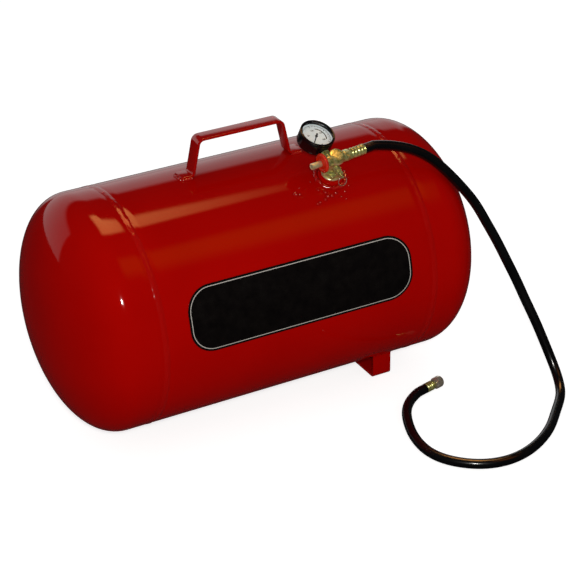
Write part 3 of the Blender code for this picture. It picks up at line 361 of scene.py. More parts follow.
def finish_piece(piece, finish, slot, *nodes, body="tank"):
    """Give a piece its finish, its CAD body and the nodes that it stands for."""
    piece.data.materials.clear()
    piece.data.materials.append(finish)
    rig.ride(piece, body)
    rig.slot(piece, slot)
    if nodes:
        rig.replaces(piece, *nodes)
    low, high = (Vector(piece.bound_box[0]), Vector(piece.bound_box[6]))
    size = [round(v * 1000, 1) for v in high - low]
    print(piece.name, "size", size, "mm,", len(piece.data.polygons), "faces")
    return piece


# %% [markdown]
# ## Material helpers
# Colours are written as sRGB hex, as a paint chart gives them, and Blender shades in linear light,
# so one function converts them. Patterns are sized in millimetres: a texture's scale is features
# per metre, because Object coordinates are in metres here. Most of the finishes need the same two
# patterns, a broad one that makes the colour drift and a fine one that breaks the surface, so one
# function lays both, and each finish gives it its own sizes and depths.

# %% Helpers for materials
def linear(hex_colour):
    """Linear RGBA of an sRGB hex colour such as #A0522D."""
    channels = [int(hex_colour[place:place + 2], 16) / 255 for place in (1, 3, 5)]
    return tuple(
        c / 12.92 if c <= 0.04045 else ((c + 0.055) / 1.055) ** 2.4 for c in channels
    ) + (1.0,)


def add_node(tree, kind, inputs=None, stops=(), **settings):
    """Add a node and return its outputs. An input is a value or a socket; stops are a ramp's."""
    node = tree.nodes.new("ShaderNode" + kind)
    for setting, value in settings.items():
        setattr(node, setting, value)
    for socket, value in (inputs or {}).items():
        if isinstance(value, bpy.types.NodeSocket):
            tree.links.new(value, node.inputs[socket])
        else:
            node.inputs[socket].default_value = value
    for element, (position, colour) in zip(node.color_ramp.elements if stops else (), stops):
        element.position = position
        element.color = linear(colour)
    return node.outputs


def new_finish(name, **values):
    """A material and its Principled shader, with the numbers that are the same all over."""
    finish = bpy.data.materials.new(name)
    finish.use_nodes = True
    shader = finish.node_tree.nodes["Principled BSDF"]
    for socket, value in values.items():
        shader.inputs[socket.replace("_", " ")].default_value = value
    return finish, finish.node_tree, shader


def per_metre(size):
    """Texture scale for features of this size."""
    return 1.0 / size


def lay_patterns(name, colours, broad, fine, roughness, bump, gloss_follows="broad", **values):
    """A finish whose colour follows a broad pattern and whose bump follows a fine one.

    A pattern is (feature size, detail), and then its grittiness where that isn't the usual one.
    Roughness is (in its low parts, in its high ones), and bump is (strength, depth).
    """
    finish, tree, shader = new_finish(name, **values)
    place = add_node(tree, "TexCoord")["Object"]
    patterns = {}
    for key, (size, detail, *grit) in (("broad", broad), ("fine", fine)):
        inputs = {"Vector": place, "Scale": per_metre(size), "Detail": detail}
        if grit:
            inputs["Roughness"] = grit[0]
        patterns[key] = add_node(tree, "TexNoise", inputs)["Fac"]
    colour = add_node(tree, "ValToRGB", {"Fac": patterns["broad"]}, colours)["Color"]
    gloss = add_node(tree, "MapRange", {
        "Value": patterns[gloss_follows], "From Min": 0.3, "From Max": 0.7,
        "To Min": roughness[0], "To Max": roughness[1],
    })["Result"]
    dents = add_node(tree, "Bump", {
        "Strength": bump[0], "Distance": bump[1], "Height": patterns["fine"],
    })["Normal"]
    for socket, source in (("Base Color", colour), ("Roughness", gloss), ("Normal", dents)):
        tree.links.new(source, shader.inputs[socket])
    return finish


# %% [markdown]
# ## Camera
# A long lens about 2.5 m away keeps the tank nearly undistorted. The camera looks down on it from
# the front left. Its axes are written out, because it is rolled by a degree and a half.

# %% Camera
camera_right = Vector((0.875684, -0.482711, -0.012962))
camera_up = Vector((0.241763, 0.415029, 0.877098))
camera_back = Vector((-0.418005, -0.771195, 0.480136))
camera_place = Matrix((camera_right, camera_up, camera_back)).transposed().to_4x4()
camera_place.translation = Vector((-1.01464, -1.98528, 1.36181))
camera_data = bpy.data.cameras.new("camera")
camera_data.lens = 122.25
camera_data.sensor_width = 36.0
camera_data.clip_start = 0.05
camera = bpy.data.objects.new("camera", camera_data)
camera.matrix_world = camera_place
bpy.context.scene.collection.objects.link(camera)
bpy.context.scene.camera = camera
print("camera", [round(v, 3) for v in camera.location], "lens", camera_data.lens)

# %% [markdown]
# ## Hose
# The air hose is black EPDM rubber over a braided core, 12.7 mm across. It leaves the crimped
# ferrule level, arches over the end of the tank, hangs down to the floor and comes back in a hook,
# with the chuck lying beside the tank. A smooth curve through given points keeps its stiff,
# springy line. A curve with a round bevel draws the tube, and it is then made a mesh, because the
# bounding box of a bevelled curve is a metre too big on every side.

# %% Hose route
HOSE_RADIUS = 6.35 * MM
HOSE_LEAD = 8.0 * MM
HOSE_LENGTH = 0.925
FERRULE_END = 42.8 * MM
HOSE_EXIT = HOSE_PORT @ Vector((0.0, 0.0, FERRULE_END))
ROUTE_STEPS = 150
STEPS_BETWEEN_STOPS = 24
EASING = 5
HOSE_STOPS = [
    (0.1661, -0.0748, 0.3382), (0.1925, -0.0795, 0.3295), (0.2168, -0.0885, 0.3151),
    (0.2397, -0.1005, 0.2908), (0.2672, -0.1135, 0.2536), (0.2821, -0.1205, 0.2244),
    (0.2960, -0.1280, 0.1952), (0.3075, -0.1360, 0.1667), (0.3184, -0.1450, 0.1384),
    (0.3267, -0.1555, 0.1114), (0.3345, -0.1680, 0.0853), (0.3403, -0.1810, 0.0598),
    (0.3440, -0.1935, 0.0385), (0.3448, -0.2075, 0.0215), (0.3405, -0.2215, 0.0120),
    (0.3310, -0.2370, 0.0074), (0.2988, -0.2693, 0.0067), (0.2747, -0.2923, 0.0067),
    (0.2457, -0.3116, 0.0067), (0.2170, -0.3235, 0.0067), (0.1870, -0.3275, 0.0067),
    (0.1565, -0.3200, 0.0067), (0.1325, -0.3021, 0.0067), (0.1171, -0.2804, 0.0067),
    (0.1113, -0.2550, 0.0067), (0.1150, -0.2225, 0.0067), (0.1270, -0.1890, 0.0067),
    (0.1405, -0.1645, 0.0067), (0.1580, -0.1470, 0.0070), (0.1725, -0.1390, 0.0075),
]


def smooth_line(stops, count):
    """Evenly spaced points on a Catmull-Rom curve through the stops."""
    ends = [stops[0] * 2 - stops[1]] + stops + [stops[-1] * 2 - stops[-2]]
    fine = []
    for a, b, c, d in zip(ends, ends[1:], ends[2:], ends[3:]):
        for step in range(STEPS_BETWEEN_STOPS):
            t = step / STEPS_BETWEEN_STOPS
            bend = (a * 2 - b * 5 + c * 4 - d) * t * t + (b * 3 - a - c * 3 + d) * t ** 3
            fine.append((b * 2 + (c - a) * t + bend) / 2)
    fine.append(stops[-1])
    reach = [0.0]
    for before, after in zip(fine, fine[1:]):
        reach.append(reach[-1] + (after - before).length)
    line = []
    index = 0
    for step in range(count):
        target = reach[-1] * step / (count - 1)
        while index < len(fine) - 2 and reach[index + 1] < target:
            index += 1
        share = (target - reach[index]) / (reach[index + 1] - reach[index])
        line.append(fine[index].lerp(fine[index + 1], min(share, 1.0)))
    return line


def eased(line, passes):
    """The line with its corners eased, and the two points at each end kept."""
    for _ in range(passes):
        inner = [(a + b * 2 + c) / 4 for a, b, c in zip(line[1:], line[2:], line[3:-1])]
        line = line[:2] + inner + line[-2:]
    return line


outlet = [HOSE_EXIT + (HOSE_PORT.to_3x3() @ Vector((0, 0, HOSE_LEAD * step))) for step in range(3)]
inlet = [CHUCK @ Vector((0, 0, -HOSE_LEAD * step)) for step in range(2)]
stops = outlet[1:] + [Vector(stop) for stop in HOSE_STOPS] + inlet[1:]
hose_line = outlet[:1] + eased(smooth_line(stops, ROUTE_STEPS), EASING) + inlet[:1]
measured = sum((b - a).length for a, b in zip(hose_line, hose_line[1:]))
print("hose", len(hose_line), "points,", round(measured, 3), "m long")

# %% [markdown]
# ## Hose finish: extruded EPDM rubber
# The cover is extruded black rubber: dark, slightly blue, with a soft sheen that turns grey along
# the top, and faint smears where it was handled. The grain of the real cover is under 0.2 mm, too
# fine to show, so it is drawn about 1.5 mm coarse. The chuck's seal is moulded, and duller.

# %% Rubber and the hose tube
HOSE_GRAIN = 1.5 * MM
SEAL_GRAIN = 0.8 * MM
SMEAR = 45.0 * MM


def rubber_finish(name, dark, pale, grain, roughness):
    return lay_patterns(
        name, [(0.35, dark), (0.75, pale)], (SMEAR, 4.0), (grain, 3.0), roughness,
        (0.25, 0.15 * MM), IOR=1.52, Specular_IOR_Level=0.45,
    )


hose_rubber = rubber_finish("extruded_epdm_rubber", "#040405", "#09090A", HOSE_GRAIN, (0.18, 0.28))
seal_rubber = rubber_finish("moulded_nitrile_rubber", "#121212", "#1E1E1E", SEAL_GRAIN, (0.5, 0.65))
hose_tube = tube("hose_tube", hose_line, HOSE_RADIUS, resolution=10)
smooth(hose_tube, 60.0)
finish_piece(hose_tube, hose_rubber, "hose_rubber", "hose")

# %% [markdown]
# ## Paint: baked red gloss enamel
# The whole welded tank is sprayed with red enamel and baked. The coat is thick and mirror-smooth,
# so it shows crisp reflections over a deep, saturated red. A faint orange peel of about 9 mm waves
# is left by the spray, and the colour drifts a little where the coat is thicker. Over a weld or a
# bent strap the coat is uneven and less flat, so it catches the lamp in small soft glints. The
# machine weld is smoother than the hand-laid ones, and its coat shines less broken.

# %% Red enamel
PEEL = 9.0 * MM
DRIFT = 130.0 * MM


def enamel_finish(name, thick, peel_depth, roughness, level):
    return lay_patterns(
        name, [(0.3, thick), (0.7, "#A00300")], (DRIFT, 4.0), (PEEL, 1.0),
        (roughness, roughness * 1.6), (1.0, peel_depth), IOR=1.5, Specular_IOR_Level=level,
    )


red_enamel = enamel_finish("baked_red_enamel", "#980200", 0.004 * MM, 0.05, 0.15)
weld_enamel = enamel_finish("baked_red_enamel_on_weld", "#920200", 0.05 * MM, 0.2, 0.6)
drop_enamel = enamel_finish("baked_red_enamel_on_drops", "#920200", 0.05 * MM, 0.12, 0.9)
strap_enamel = enamel_finish("baked_red_enamel_on_strap", "#920200", 0.012 * MM, 0.08, 0.55)
seam_enamel = enamel_finish("baked_red_enamel_on_seam", "#940200", 0.02 * MM, 0.12, 0.2)

# %% [markdown]
# ## Tank skin
# The shell is sheet steel rolled to 305 mm and welded, and the two heads are pressed in one blow
# each, to a profile a little squarer than an ellipse. Painted, they read as one smooth vessel, so
# the skin is one outline spun round the tank's axis. Beside each girth weld the heat has drawn the
# sheet in by about a third of a millimetre, which gives the seam its two soft edges.

# %% Skin of the tank, in mm
SHELL = TANK_RADIUS / MM
TANGENT = 215.3
HEAD_DEPTH = 73.6
HEAD_POWER = 2.14
HEAD_STEPS = 28
SEAM = 187.5
SEAM_PROFILE = [
    (11.5, 0.0), (7.5, 0.0), (6.0, 0.21), (3.0, 0.35), (-3.0, 0.35), (-6.0, 0.21), (-7.5, 0.0),
    (-11.5, 0.0),
]     # (distance from the seam, how far the sheet is drawn in)

right_half = []
for step in range(HEAD_STEPS + 1):
    angle = RIGHT_ANGLE * step / HEAD_STEPS
    reach = max(math.cos(angle), 0.0) ** (2 / HEAD_POWER)
    radius = math.sin(angle) ** (2 / HEAD_POWER)
    right_half.append((TANGENT + HEAD_DEPTH * reach, SHELL * radius))
right_half += [(SEAM + along, SHELL - sink) for along, sink in SEAM_PROFILE]
left_half = [(-height, radius) for height, radius in reversed(right_half)]
tank_skin = lathe("tank_skin", right_half + left_half, TANK, segments=192)
finish_piece(
    tank_skin, red_enamel, "red_gloss_paint", "tank_shell", "head_left", "head_right",
)

# %% [markdown]
# ## Girth welds
# Each head is joined to the shell by one machine weld round the seam. The bead is a low crown with
# fine ripples where the pool froze, softened by the paint. A spun arc gives the crown, and a
# Displace modifier with a cloud pattern makes it uneven.

# %% Weld beads round the tank
WELD_HALF_WIDTH = 4.0     # mm, as the other numbers of the outline
WELD_CROWN = 0.6
WELD_SUNK = 0.3
WELD_ROOT = 2.0
ARC_STEPS = 8
RIPPLE = 3.5 * MM
RIPPLE_DEPTH = 0.9 * MM


def ripple(piece, size, depth):
    """Uneven surface, from a cloud pattern of this size."""
    clouds = bpy.data.textures.new("clouds", "CLOUDS")
    clouds.noise_scale = size
    clouds.noise_depth = 1
    apply_modifier(
        piece, "DISPLACE", texture=clouds, texture_coords="LOCAL", strength=depth, mid_level=0.5,
    )
    bpy.data.textures.remove(clouds)
    smooth(piece, 60.0)


for side, seam in (("left", -SEAM), ("right", SEAM)):
    outline = []
    for step in range(ARC_STEPS + 1):
        across = 2 * step / ARC_STEPS - 1.0
        crown = WELD_CROWN * math.cos(across * RIGHT_ANGLE) - WELD_SUNK
        outline.append((seam + across * WELD_HALF_WIDTH, SHELL + crown))
    outline += [(seam + half, SHELL - WELD_ROOT) for half in (WELD_HALF_WIDTH, -WELD_HALF_WIDTH)]
    girth_weld = lathe("girth_weld_" + side, outline, TANK, segments=360)
    ripple(girth_weld, RIPPLE, RIPPLE_DEPTH)
    finish_piece(girth_weld, seam_enamel, "red_gloss_paint", "weld_" + side)

# %% [markdown]
# ## Bent straps: handle and feet
# The handle and both feet are flat bar, cold bent in a press and welded on. A strap starts as one
# point, is extruded along its bends, then sideways to its width, gets its thickness from a
# Solidify modifier, and its sheared edges are softened with a Bevel.

# %% Helpers for bent straps
STRAP_EDGE = 0.7 * MM
BEND_STEPS = 8


def bent_line(corners, bends):
    """Points along straight runs with round bends at the inner corners."""
    line = [corners[0]]
    for before, corner, after, bend in zip(corners, corners[1:], corners[2:], bends):
        way_in = (corner - before).normalized()
        way_out = (after - corner).normalized()
        bend_angle = way_in.angle(way_out)
        start = corner - way_in * bend * math.tan(bend_angle / 2)
        inward = (way_out - way_in * way_in.dot(way_out)).normalized()
        middle = start + inward * bend
        for step in range(BEND_STEPS + 1):
            angle = bend_angle * step / BEND_STEPS
            line.append(middle + (way_in * math.sin(angle) - inward * math.cos(angle)) * bend)
    return line + [corners[-1]]


def strap(name, line, across, width, stock):
    """A flat bar along a line, with its width to both sides of the line."""
    piece = draw_line(name, [point - across * (width / 2) for point in line])
    bpy.ops.mesh.select_all(action="SELECT")
    bpy.ops.mesh.extrude_edges_move(TRANSFORM_OT_translate={"value": across * width})
    mend()
    apply_modifier(piece, "SOLIDIFY", thickness=stock, offset=0.0, use_even_offset=True)
    bpy.ops.object.mode_set(mode="EDIT")
    mend()
    round_corners(piece, STRAP_EDGE, 3, 50.0)
    smooth(piece)
    return piece


# %% Helpers for weld beads
BEAD_PITCH = 1.6 * MM
BEAD_EDGE = 0.6 * MM      # a bead's middle lies this far outside the edge that it joins
BEAD_SWELL = 0.22
BEAD_BEAT = 2.4           # radians from one point to the next, so the lumps don't line up
BEAD_TAPER = 0.45


def weld_bead(name, line, radius, lump=2.5 * MM, depth=0.9 * MM):
    """A lumpy bead along a line: a round tube, made uneven and closed at both ends."""
    def swell(count):
        taper = BEAD_TAPER if count in (0, len(line) - 1) else 0.0
        return 1.0 + BEAD_SWELL * math.sin(count * BEAD_BEAT) - taper

    bead = tube(name, line, radius, swell=swell)
    ripple(bead, lump, depth)
    return bead


def spread(start, end):
    """Evenly spaced points from start to end."""
    count = max(2, round((end - start).length / BEAD_PITCH))
    return [start.lerp(end, step / count) for step in range(count + 1)]


# %% [markdown]
# ## Handle
# A 20 mm wide, 3.3 mm thick strap, bent into a low bridge with splayed legs. Its two flat tabs lie
# on top of the shell, and each is welded along its end and both sides.

# %% Handle
HANDLE_X = -8.0 * MM
HANDLE_WIDTH = 20.0 * MM
HANDLE_STOCK = 3.3 * MM
HANDLE_CORNERS = [
    (-83.5, 1.95), (-67.35, 1.95), (-57.55, 47.55), (57.55, 47.55), (67.35, 1.95), (83.5, 1.95),
]     # (x, height above the shell), mm
HANDLE_BENDS = [4.5 * MM, 7.5 * MM, 7.5 * MM, 4.5 * MM]
TAB_END = 84.5 * MM
TAB_ROOT = 69.0 * MM
HANDLE_BEAD = 2.2 * MM
HANDLE_BEAD_LIFT = 0.3 * MM

handle_base = Vector((HANDLE_X, 0.0, AXIS_HEIGHT + TANK_RADIUS))
handle_corners = [handle_base + Vector((x * MM, 0.0, z * MM)) for x, z in HANDLE_CORNERS]
handle_line = bent_line(handle_corners, HANDLE_BENDS)
handle_strap = strap("handle_strap", handle_line, Vector((0, 1, 0)), HANDLE_WIDTH, HANDLE_STOCK)
finish_piece(handle_strap, strap_enamel, "red_gloss_paint", "handle")


def on_shell(x, y):
    """A point just above the upper half of the shell."""
    radius = TANK_RADIUS + HANDLE_BEAD_LIFT
    return Vector((x, y, AXIS_HEIGHT + math.sqrt(radius * radius - y * y)))


handle_beads = []
edge = HANDLE_WIDTH / 2 + BEAD_EDGE
for side in (-1.0, 1.0):
    end = HANDLE_X + side * TAB_END
    root = HANDLE_X + side * TAB_ROOT
    for start_x, start_y, end_y in ((end, -edge, edge), (root, -edge, -edge), (root, edge, edge)):
        bead_line = spread(on_shell(start_x, start_y), on_shell(end, end_y))
        handle_beads.append(weld_bead("bead", bead_line, HANDLE_BEAD))
handle_welds = join_pieces("handle_welds", handle_beads)
finish_piece(handle_welds, weld_enamel, "red_gloss_paint")

# %% [markdown]
# ## Feet
# The wide foot is a U of 3 mm strip across the manifold end, and the small one is a narrow U near
# the other end. Their legs are trimmed to the round of the shell and welded on the outside.

# %% Feet
FOOT_STOCK = 3.0 * MM
FOOT_BEND = 6.0 * MM
FOOT_TUCK = 3.5 * MM       # a leg goes this far under the skin, where the trimmed end is hidden
FOOT_BEAD = 1.9 * MM
wide_low, wide_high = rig.box("foot_wide")
narrow_low, narrow_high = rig.box("foot_narrow")


def under_shell(x, y):
    """A point on the underside of the shell."""
    return Vector((x, y, AXIS_HEIGHT - math.sqrt(TANK_RADIUS * TANK_RADIUS - y * y)))


def foot(name, node, low, high, along, across):
    """A U of strip that fills the box of its CAD node; along is the way that it spans."""
    half_span = (high - low).dot(along) / 2 - FOOT_STOCK / 2
    base = Vector(((low.x + high.x) / 2, (low.y + high.y) / 2, low.z + FOOT_STOCK / 2))
    up = Vector((0, 0, under_shell(0.0, high.y).z + FOOT_TUCK - FOOT_STOCK))
    left, right = base - along * half_span, base + along * half_span
    bend = FOOT_BEND - FOOT_STOCK / 2
    line = bent_line([left + up, left, right, right + up], [bend, bend])
    piece = strap(name, line, across, (high - low).dot(across), FOOT_STOCK)
    return finish_piece(piece, red_enamel, "red_gloss_paint", node)


lengthwise, crosswise = Vector((1, 0, 0)), Vector((0, 1, 0))
foot("manifold_end_foot", "foot_wide", wide_low, wide_high, crosswise, lengthwise)
foot("plain_end_foot", "foot_narrow", narrow_low, narrow_high, lengthwise, crosswise)

foot_beads = []
for side, x in ((-1.0, narrow_low.x - BEAD_EDGE), (1.0, narrow_high.x + BEAD_EDGE)):
    y = side * (wide_high.y + BEAD_EDGE)
    for start, end in (((wide_low.x, y), (wide_high.x, y)), ((x, narrow_low.y), (x, narrow_high.y))):
        bead_line = spread(under_shell(*start), under_shell(*end))
        foot_beads.append(weld_bead("bead", bead_line, FOOT_BEAD))
foot_welds = join_pieces("foot_welds", foot_beads)
finish_piece(foot_welds, weld_enamel, "red_gloss_paint")

# %% [markdown]
# ## Label
# A black vinyl label with round corners is stuck on the front of the shell, with a thin pale line
# printed round it. The rest of it is left bare. Its outline is a stack of level rows wrapped round
# the shell, each as long as the rounded outline is at that height, and a Solidify modifier gives
# the vinyl its thickness. The printed line comes from the label's own flat coordinates.

# %% Label shape
LABEL_HALF_LENGTH = 154.5 * MM
LABEL_HALF_HEIGHT = 42.2 * MM
LABEL_CORNER = 33.0 * MM
LABEL_ELEVATION = math.radians(13.75)
LABEL_THICKNESS = 0.4 * MM
LABEL_RADIUS = TANK_RADIUS + 0.3 * MM
CORNER_ROWS = 18
FLAT_ROWS = 4


def label_rows():
    """(height from the middle, half length) of each row, from the bottom up."""
    straight = LABEL_HALF_HEIGHT - LABEL_CORNER
    corner = []
    for step in range(CORNER_ROWS + 1):
        angle = RIGHT_ANGLE * step / CORNER_ROWS
        corner.append((
            straight + LABEL_CORNER * math.cos(angle),
            LABEL_HALF_LENGTH - LABEL_CORNER + LABEL_CORNER * math.sin(angle),
        ))
    flat = [(straight * (1 - 2 * step / FLAT_ROWS), LABEL_HALF_LENGTH) for step in range(1, FLAT_ROWS)]
    lower = [(-height, length) for height, length in reversed(corner)]
    return list(reversed(corner + flat + lower))


rows = label_rows()
deselect()
bpy.ops.mesh.primitive_grid_add(x_subdivisions=1, y_subdivisions=len(rows) - 1, size=1.0)
label_skin = bpy.context.active_object
label_skin.name = label_skin.data.name = "label_skin"
flat_place = label_skin.data.uv_layers.active.data
for loop in label_skin.data.loops:
    corner = label_skin.data.vertices[loop.vertex_index].co
    height, length = rows[round((corner.y + 0.5) * (len(rows) - 1))]
    flat_place[loop.index].uv = (math.copysign(length, corner.x), height)
for vertex in label_skin.data.vertices:
    height, length = rows[round((vertex.co.y + 0.5) * (len(rows) - 1))]
    angle = LABEL_ELEVATION + height / LABEL_RADIUS
    vertex.co = (
        math.copysign(length, vertex.co.x), -LABEL_RADIUS * math.cos(angle),
        AXIS_HEIGHT + LABEL_RADIUS * math.sin(angle),
    )
apply_modifier(label_skin, "SOLIDIFY", thickness=LABEL_THICKNESS, offset=1.0, use_even_offset=True)
smooth(label_skin)

# %% Label finish: printed vinyl
LINE_INSET = 3.2 * MM
LINE_WIDTH = 0.9 * MM
LINE_BLUR = 0.3 * MM
VINYL_GRAIN = 12.0 * MM

black_vinyl, tree, shader = new_finish("printed_black_vinyl", IOR=1.45, Specular_IOR_Level=0.22)
flat = add_node(tree, "UVMap", uv_map=label_skin.data.uv_layers.active.name)["UV"]
axes = add_node(tree, "SeparateXYZ", {"Vector": flat})
past_corner = {}
for axis, half in (("X", LABEL_HALF_LENGTH), ("Y", LABEL_HALF_HEIGHT)):
    size = add_node(tree, "Math", {0: axes[axis]}, operation="ABSOLUTE")[0]
    over = add_node(tree, "Math", {0: size, 1: half - LABEL_CORNER}, operation="SUBTRACT")[0]
    past_corner[axis] = add_node(tree, "Math", {0: over, 1: 0.0}, operation="MAXIMUM")[0]
corner_way = add_node(tree, "CombineXYZ", past_corner)[0]
reach = add_node(tree, "VectorMath", {0: corner_way}, operation="LENGTH")["Value"]
# How far a point is from the label's rounded edge, and then from the middle of the printed line.
inset = add_node(tree, "Math", {0: LABEL_CORNER, 1: reach}, operation="SUBTRACT")[0]
from_line = add_node(tree, "Math", {0: inset, 1: LINE_INSET}, operation="SUBTRACT")[0]
off_line = add_node(tree, "Math", {0: from_line}, operation="ABSOLUTE")[0]
on_line = add_node(tree, "MapRange", {
    "Value": off_line, "From Min": (LINE_WIDTH - LINE_BLUR) / 2,
    "From Max": (LINE_WIDTH + LINE_BLUR) / 2, "To Min": 1.0, "To Max": 0.0,
})["Result"]
place = add_node(tree, "TexCoord")["Object"]
grain = add_node(tree, "TexNoise", {
    "Vector": place, "Scale": per_metre(VINYL_GRAIN), "Detail": 3.0,
})["Fac"]
vinyl = add_node(tree, "ValToRGB", {"Fac": grain}, [(0.3, "#070505"), (0.7, "#0D0A09")])["Color"]
printed = add_node(
    tree, "Mix", {"Factor": on_line, "A": vinyl, "B": linear("#B4AFA8")}, data_type="RGBA",
)["Result"]
sheen = add_node(tree, "MapRange", {
    "Value": grain, "From Min": 0.3, "From Max": 0.7, "To Min": 0.16, "To Max": 0.28,
})["Result"]
tree.links.new(printed, shader.inputs["Base Color"])
tree.links.new(sheen, shader.inputs["Roughness"])
finish_piece(label_skin, black_vinyl, "black_label_vinyl", "label")

# %% [markdown]
# ## Bung
# A round steel bung is welded into the shoulder of the shell, and the hand-laid weld round it is
# rough, with spatter beside it, all under the same paint. The flange follows the shell, the weld is
# a ring of overlapping lumps, and the spatter is a few small drops.

# %% Bung and its weld
BUNG_FLANGE = 17.0        # mm, as in the outline
BUNG_BORE = 6.6
BUNG_TOP = -0.3
BUNG_FOOT = -14.0
WELD_LAY = 19.5 * MM
WELD_LIFT = 0.6 * MM
LOOP_STEPS = 64

bung_ring = lathe("bung_ring", [
    (BUNG_TOP, BUNG_BORE), (BUNG_TOP, 13.2), (-1.6, BUNG_FLANGE - 1.0), (-5.0, BUNG_FLANGE),
    (-10.0, BUNG_FLANGE), (BUNG_FOOT, 12.0), (BUNG_FOOT, BUNG_BORE),
], MANIFOLD, rounding=0.5 * MM)
finish_piece(bung_ring, red_enamel, "red_gloss_paint", "bung")


def on_skin(angle, distance, lift):
    """A point on the shell round the bung, at this distance from the post's axis."""
    way = MANIFOLD.to_3x3() @ Vector((math.cos(angle), math.sin(angle), 0.0))
    point = MANIFOLD.translation + way * distance
    radial = Vector((0.0, point.y, point.z - AXIS_HEIGHT)).normalized()
    return Vector((point.x, 0.0, AXIS_HEIGHT)) + radial * (TANK_RADIUS + lift)


weld_loop = [
    on_skin(math.tau * step / LOOP_STEPS, WELD_LAY, WELD_LIFT) for step in range(LOOP_STEPS + 1)
]
bung_weld = weld_bead("bung_weld", weld_loop, radius=2.5 * MM, lump=5.2 * MM, depth=4.2 * MM)
finish_piece(bung_weld, drop_enamel, "red_gloss_paint")

# %% Spatter
SPATTER = [
    (3.62, 30.0, 2.2), (3.30, 58.0, 3.6), (3.36, 53.0, 2.0), (3.95, 28.5, 3.0), (4.08, 33.5, 3.2),
    (4.02, 39.0, 2.4), (3.90, 46.0, 2.6), (3.86, 49.5, 2.2), (4.25, 31.0, 2.6), (4.45, 27.5, 2.6),
    (4.62, 34.0, 1.8), (4.90, 29.0, 1.7), (5.30, 27.0, 1.2), (3.10, 29.0, 1.4), (4.75, 39.0, 1.2),
]     # (bearing in radians, distance from the post in mm, radius in mm)
DROP_SUNK = -0.1 * MM
drops = []
for angle, distance, radius in SPATTER:
    deselect()
    bpy.ops.mesh.primitive_uv_sphere_add(
        segments=16, ring_count=10, radius=radius * MM,
        location=on_skin(angle, distance * MM, DROP_SUNK),
    )
    drop = settle(bpy.context.active_object)
    ripple(drop, size=1.8 * MM, depth=1.0 * MM)
    drops.append(drop)
finish_piece(join_pieces("weld_spatter", drops), drop_enamel, "red_gloss_paint")

# %% [markdown]
# ## Brass: forged, turned and left bright
# The manifold and its fittings are yellow brass, milled and turned and not plated. It is a
# greenish straw colour with darker blotches of tarnish, and fine turning marks. Its grooves are
# under 0.1 mm apart, too fine to show, so the streaks are drawn about 0.8 mm wide. The skirt of
# the cap and the foot of the hexagon are painted pale cream, a painted highlight where the lamp
# lights them. The pull ring and the chuck are nickel-plated, and the springs are drawn steel.

# %% Metal finishes
TURNING = 0.8 * MM
BLOTCH = 4.0 * MM
TARNISH = 7.0 * MM


def metal_finish(name, bright, tarnished, blotch, roughness, depth):
    """Bright metal, duller and darker where it is tarnished."""
    return lay_patterns(
        name, [(0.35, tarnished), (0.62, bright)], (blotch, 5.0, 0.6), (TURNING, 2.0),
        roughness, (0.6, depth), Metallic=0.72,
    )


brass = metal_finish("milled_yellow_brass", "#DEDC94", "#8C8A42", BLOTCH, (0.38, 0.24), 0.02 * MM)
# The pale cream brass is the fill valve's own colour, and on the cap's skirt and the foot of the hexagon it is a
# painted highlight.
pale_brass_and_highlight = metal_finish("pale_brass_and_painted_highlight", "#F2E8BE", "#CDBF86", TARNISH, (0.42, 0.3), 0.02 * MM)
nickel = metal_finish("nickel_plated_brass", "#D8CDBB", "#A2937E", TARNISH, (0.28, 0.16), 0.015 * MM)
spring_steel = metal_finish("drawn_spring_steel", "#C9C5C4", "#A29B98", TARNISH, (0.34, 0.2), 0.01 * MM)

# %% [markdown]
# ## Post, cross bar and bosses
# One brass forging: a hexagon that takes the spanner, a plain neck, a fat round top, and a cross
# bar with the hose at one end and the valve at the other. Each is turned or extruded as a closed
# body of its own, and they overlap as the forging's forms do. The hexagon is drawn as a six-sided
# prism whose corners are chamfered by cutting them with a cone.

# %% Helpers for hexagons
CHAMFER_SLOPE = 0.58      # how far a chamfer runs down the side, as a share of its width
NUT_EDGE = 0.18 * MM


def cut(piece, operation, outline, segments):
    """Cut a piece with a turned tool: keep what is inside the tool, or what is outside."""
    tool = lathe("tool", outline, UPRIGHT, segments)
    apply_modifier(piece, "BOOLEAN", operation=operation, object=tool, solver="EXACT")
    pick(tool)
    bpy.ops.object.delete()


def hexagon(name, flats, bottom, top, placing, chamfer, bore=0.0):
    """A six-sided prism, in mm, with its corners chamfered at both ends as a nut's are."""
    corner = flats / 2 / math.cos(math.radians(30.0))
    deselect()
    bpy.ops.mesh.primitive_cylinder_add(
        vertices=6, radius=corner * MM, depth=(top - bottom) * MM,
        location=(0, 0, (top + bottom) / 2 * MM),
    )
    nut = settle(bpy.context.active_object)
    nut.name = nut.data.name = name
    reach, slope = corner - chamfer, chamfer * CHAMFER_SLOPE
    cut(nut, "INTERSECT", [
        (bottom - 1.0, 0.0), (bottom - 1.0, reach - 2.0), (bottom, reach),
        (bottom + slope, corner + 0.1), (top - slope, corner + 0.1), (top, reach),
        (top + 1.0, reach - 2.0), (top + 1.0, 0.0),
    ], 96)
    if bore:
        ends = (bottom - 1.0, top + 1.0)
        cut(nut, "DIFFERENCE", [(ends[0], 0.0), (ends[0], bore), (ends[1], bore), (ends[1], 0.0)], 64)
    round_corners(nut, NUT_EDGE, angle=25.0)
    smooth(nut, 30.0)
    return settle(nut, placing @ turn(30, "Z"))


# %% Manifold body, in mm
HEX_TOP = 8.0
NECK = 6.85
CAP = 10.0
CAP_BASE = 26.0
CAP_TOP = 36.5
THREAD = 6.1
BAR = 7.0
BAR_ENDS = (-14.5, 13.0)
BAR_CHAMFER = 0.6
BOSS = 5.0

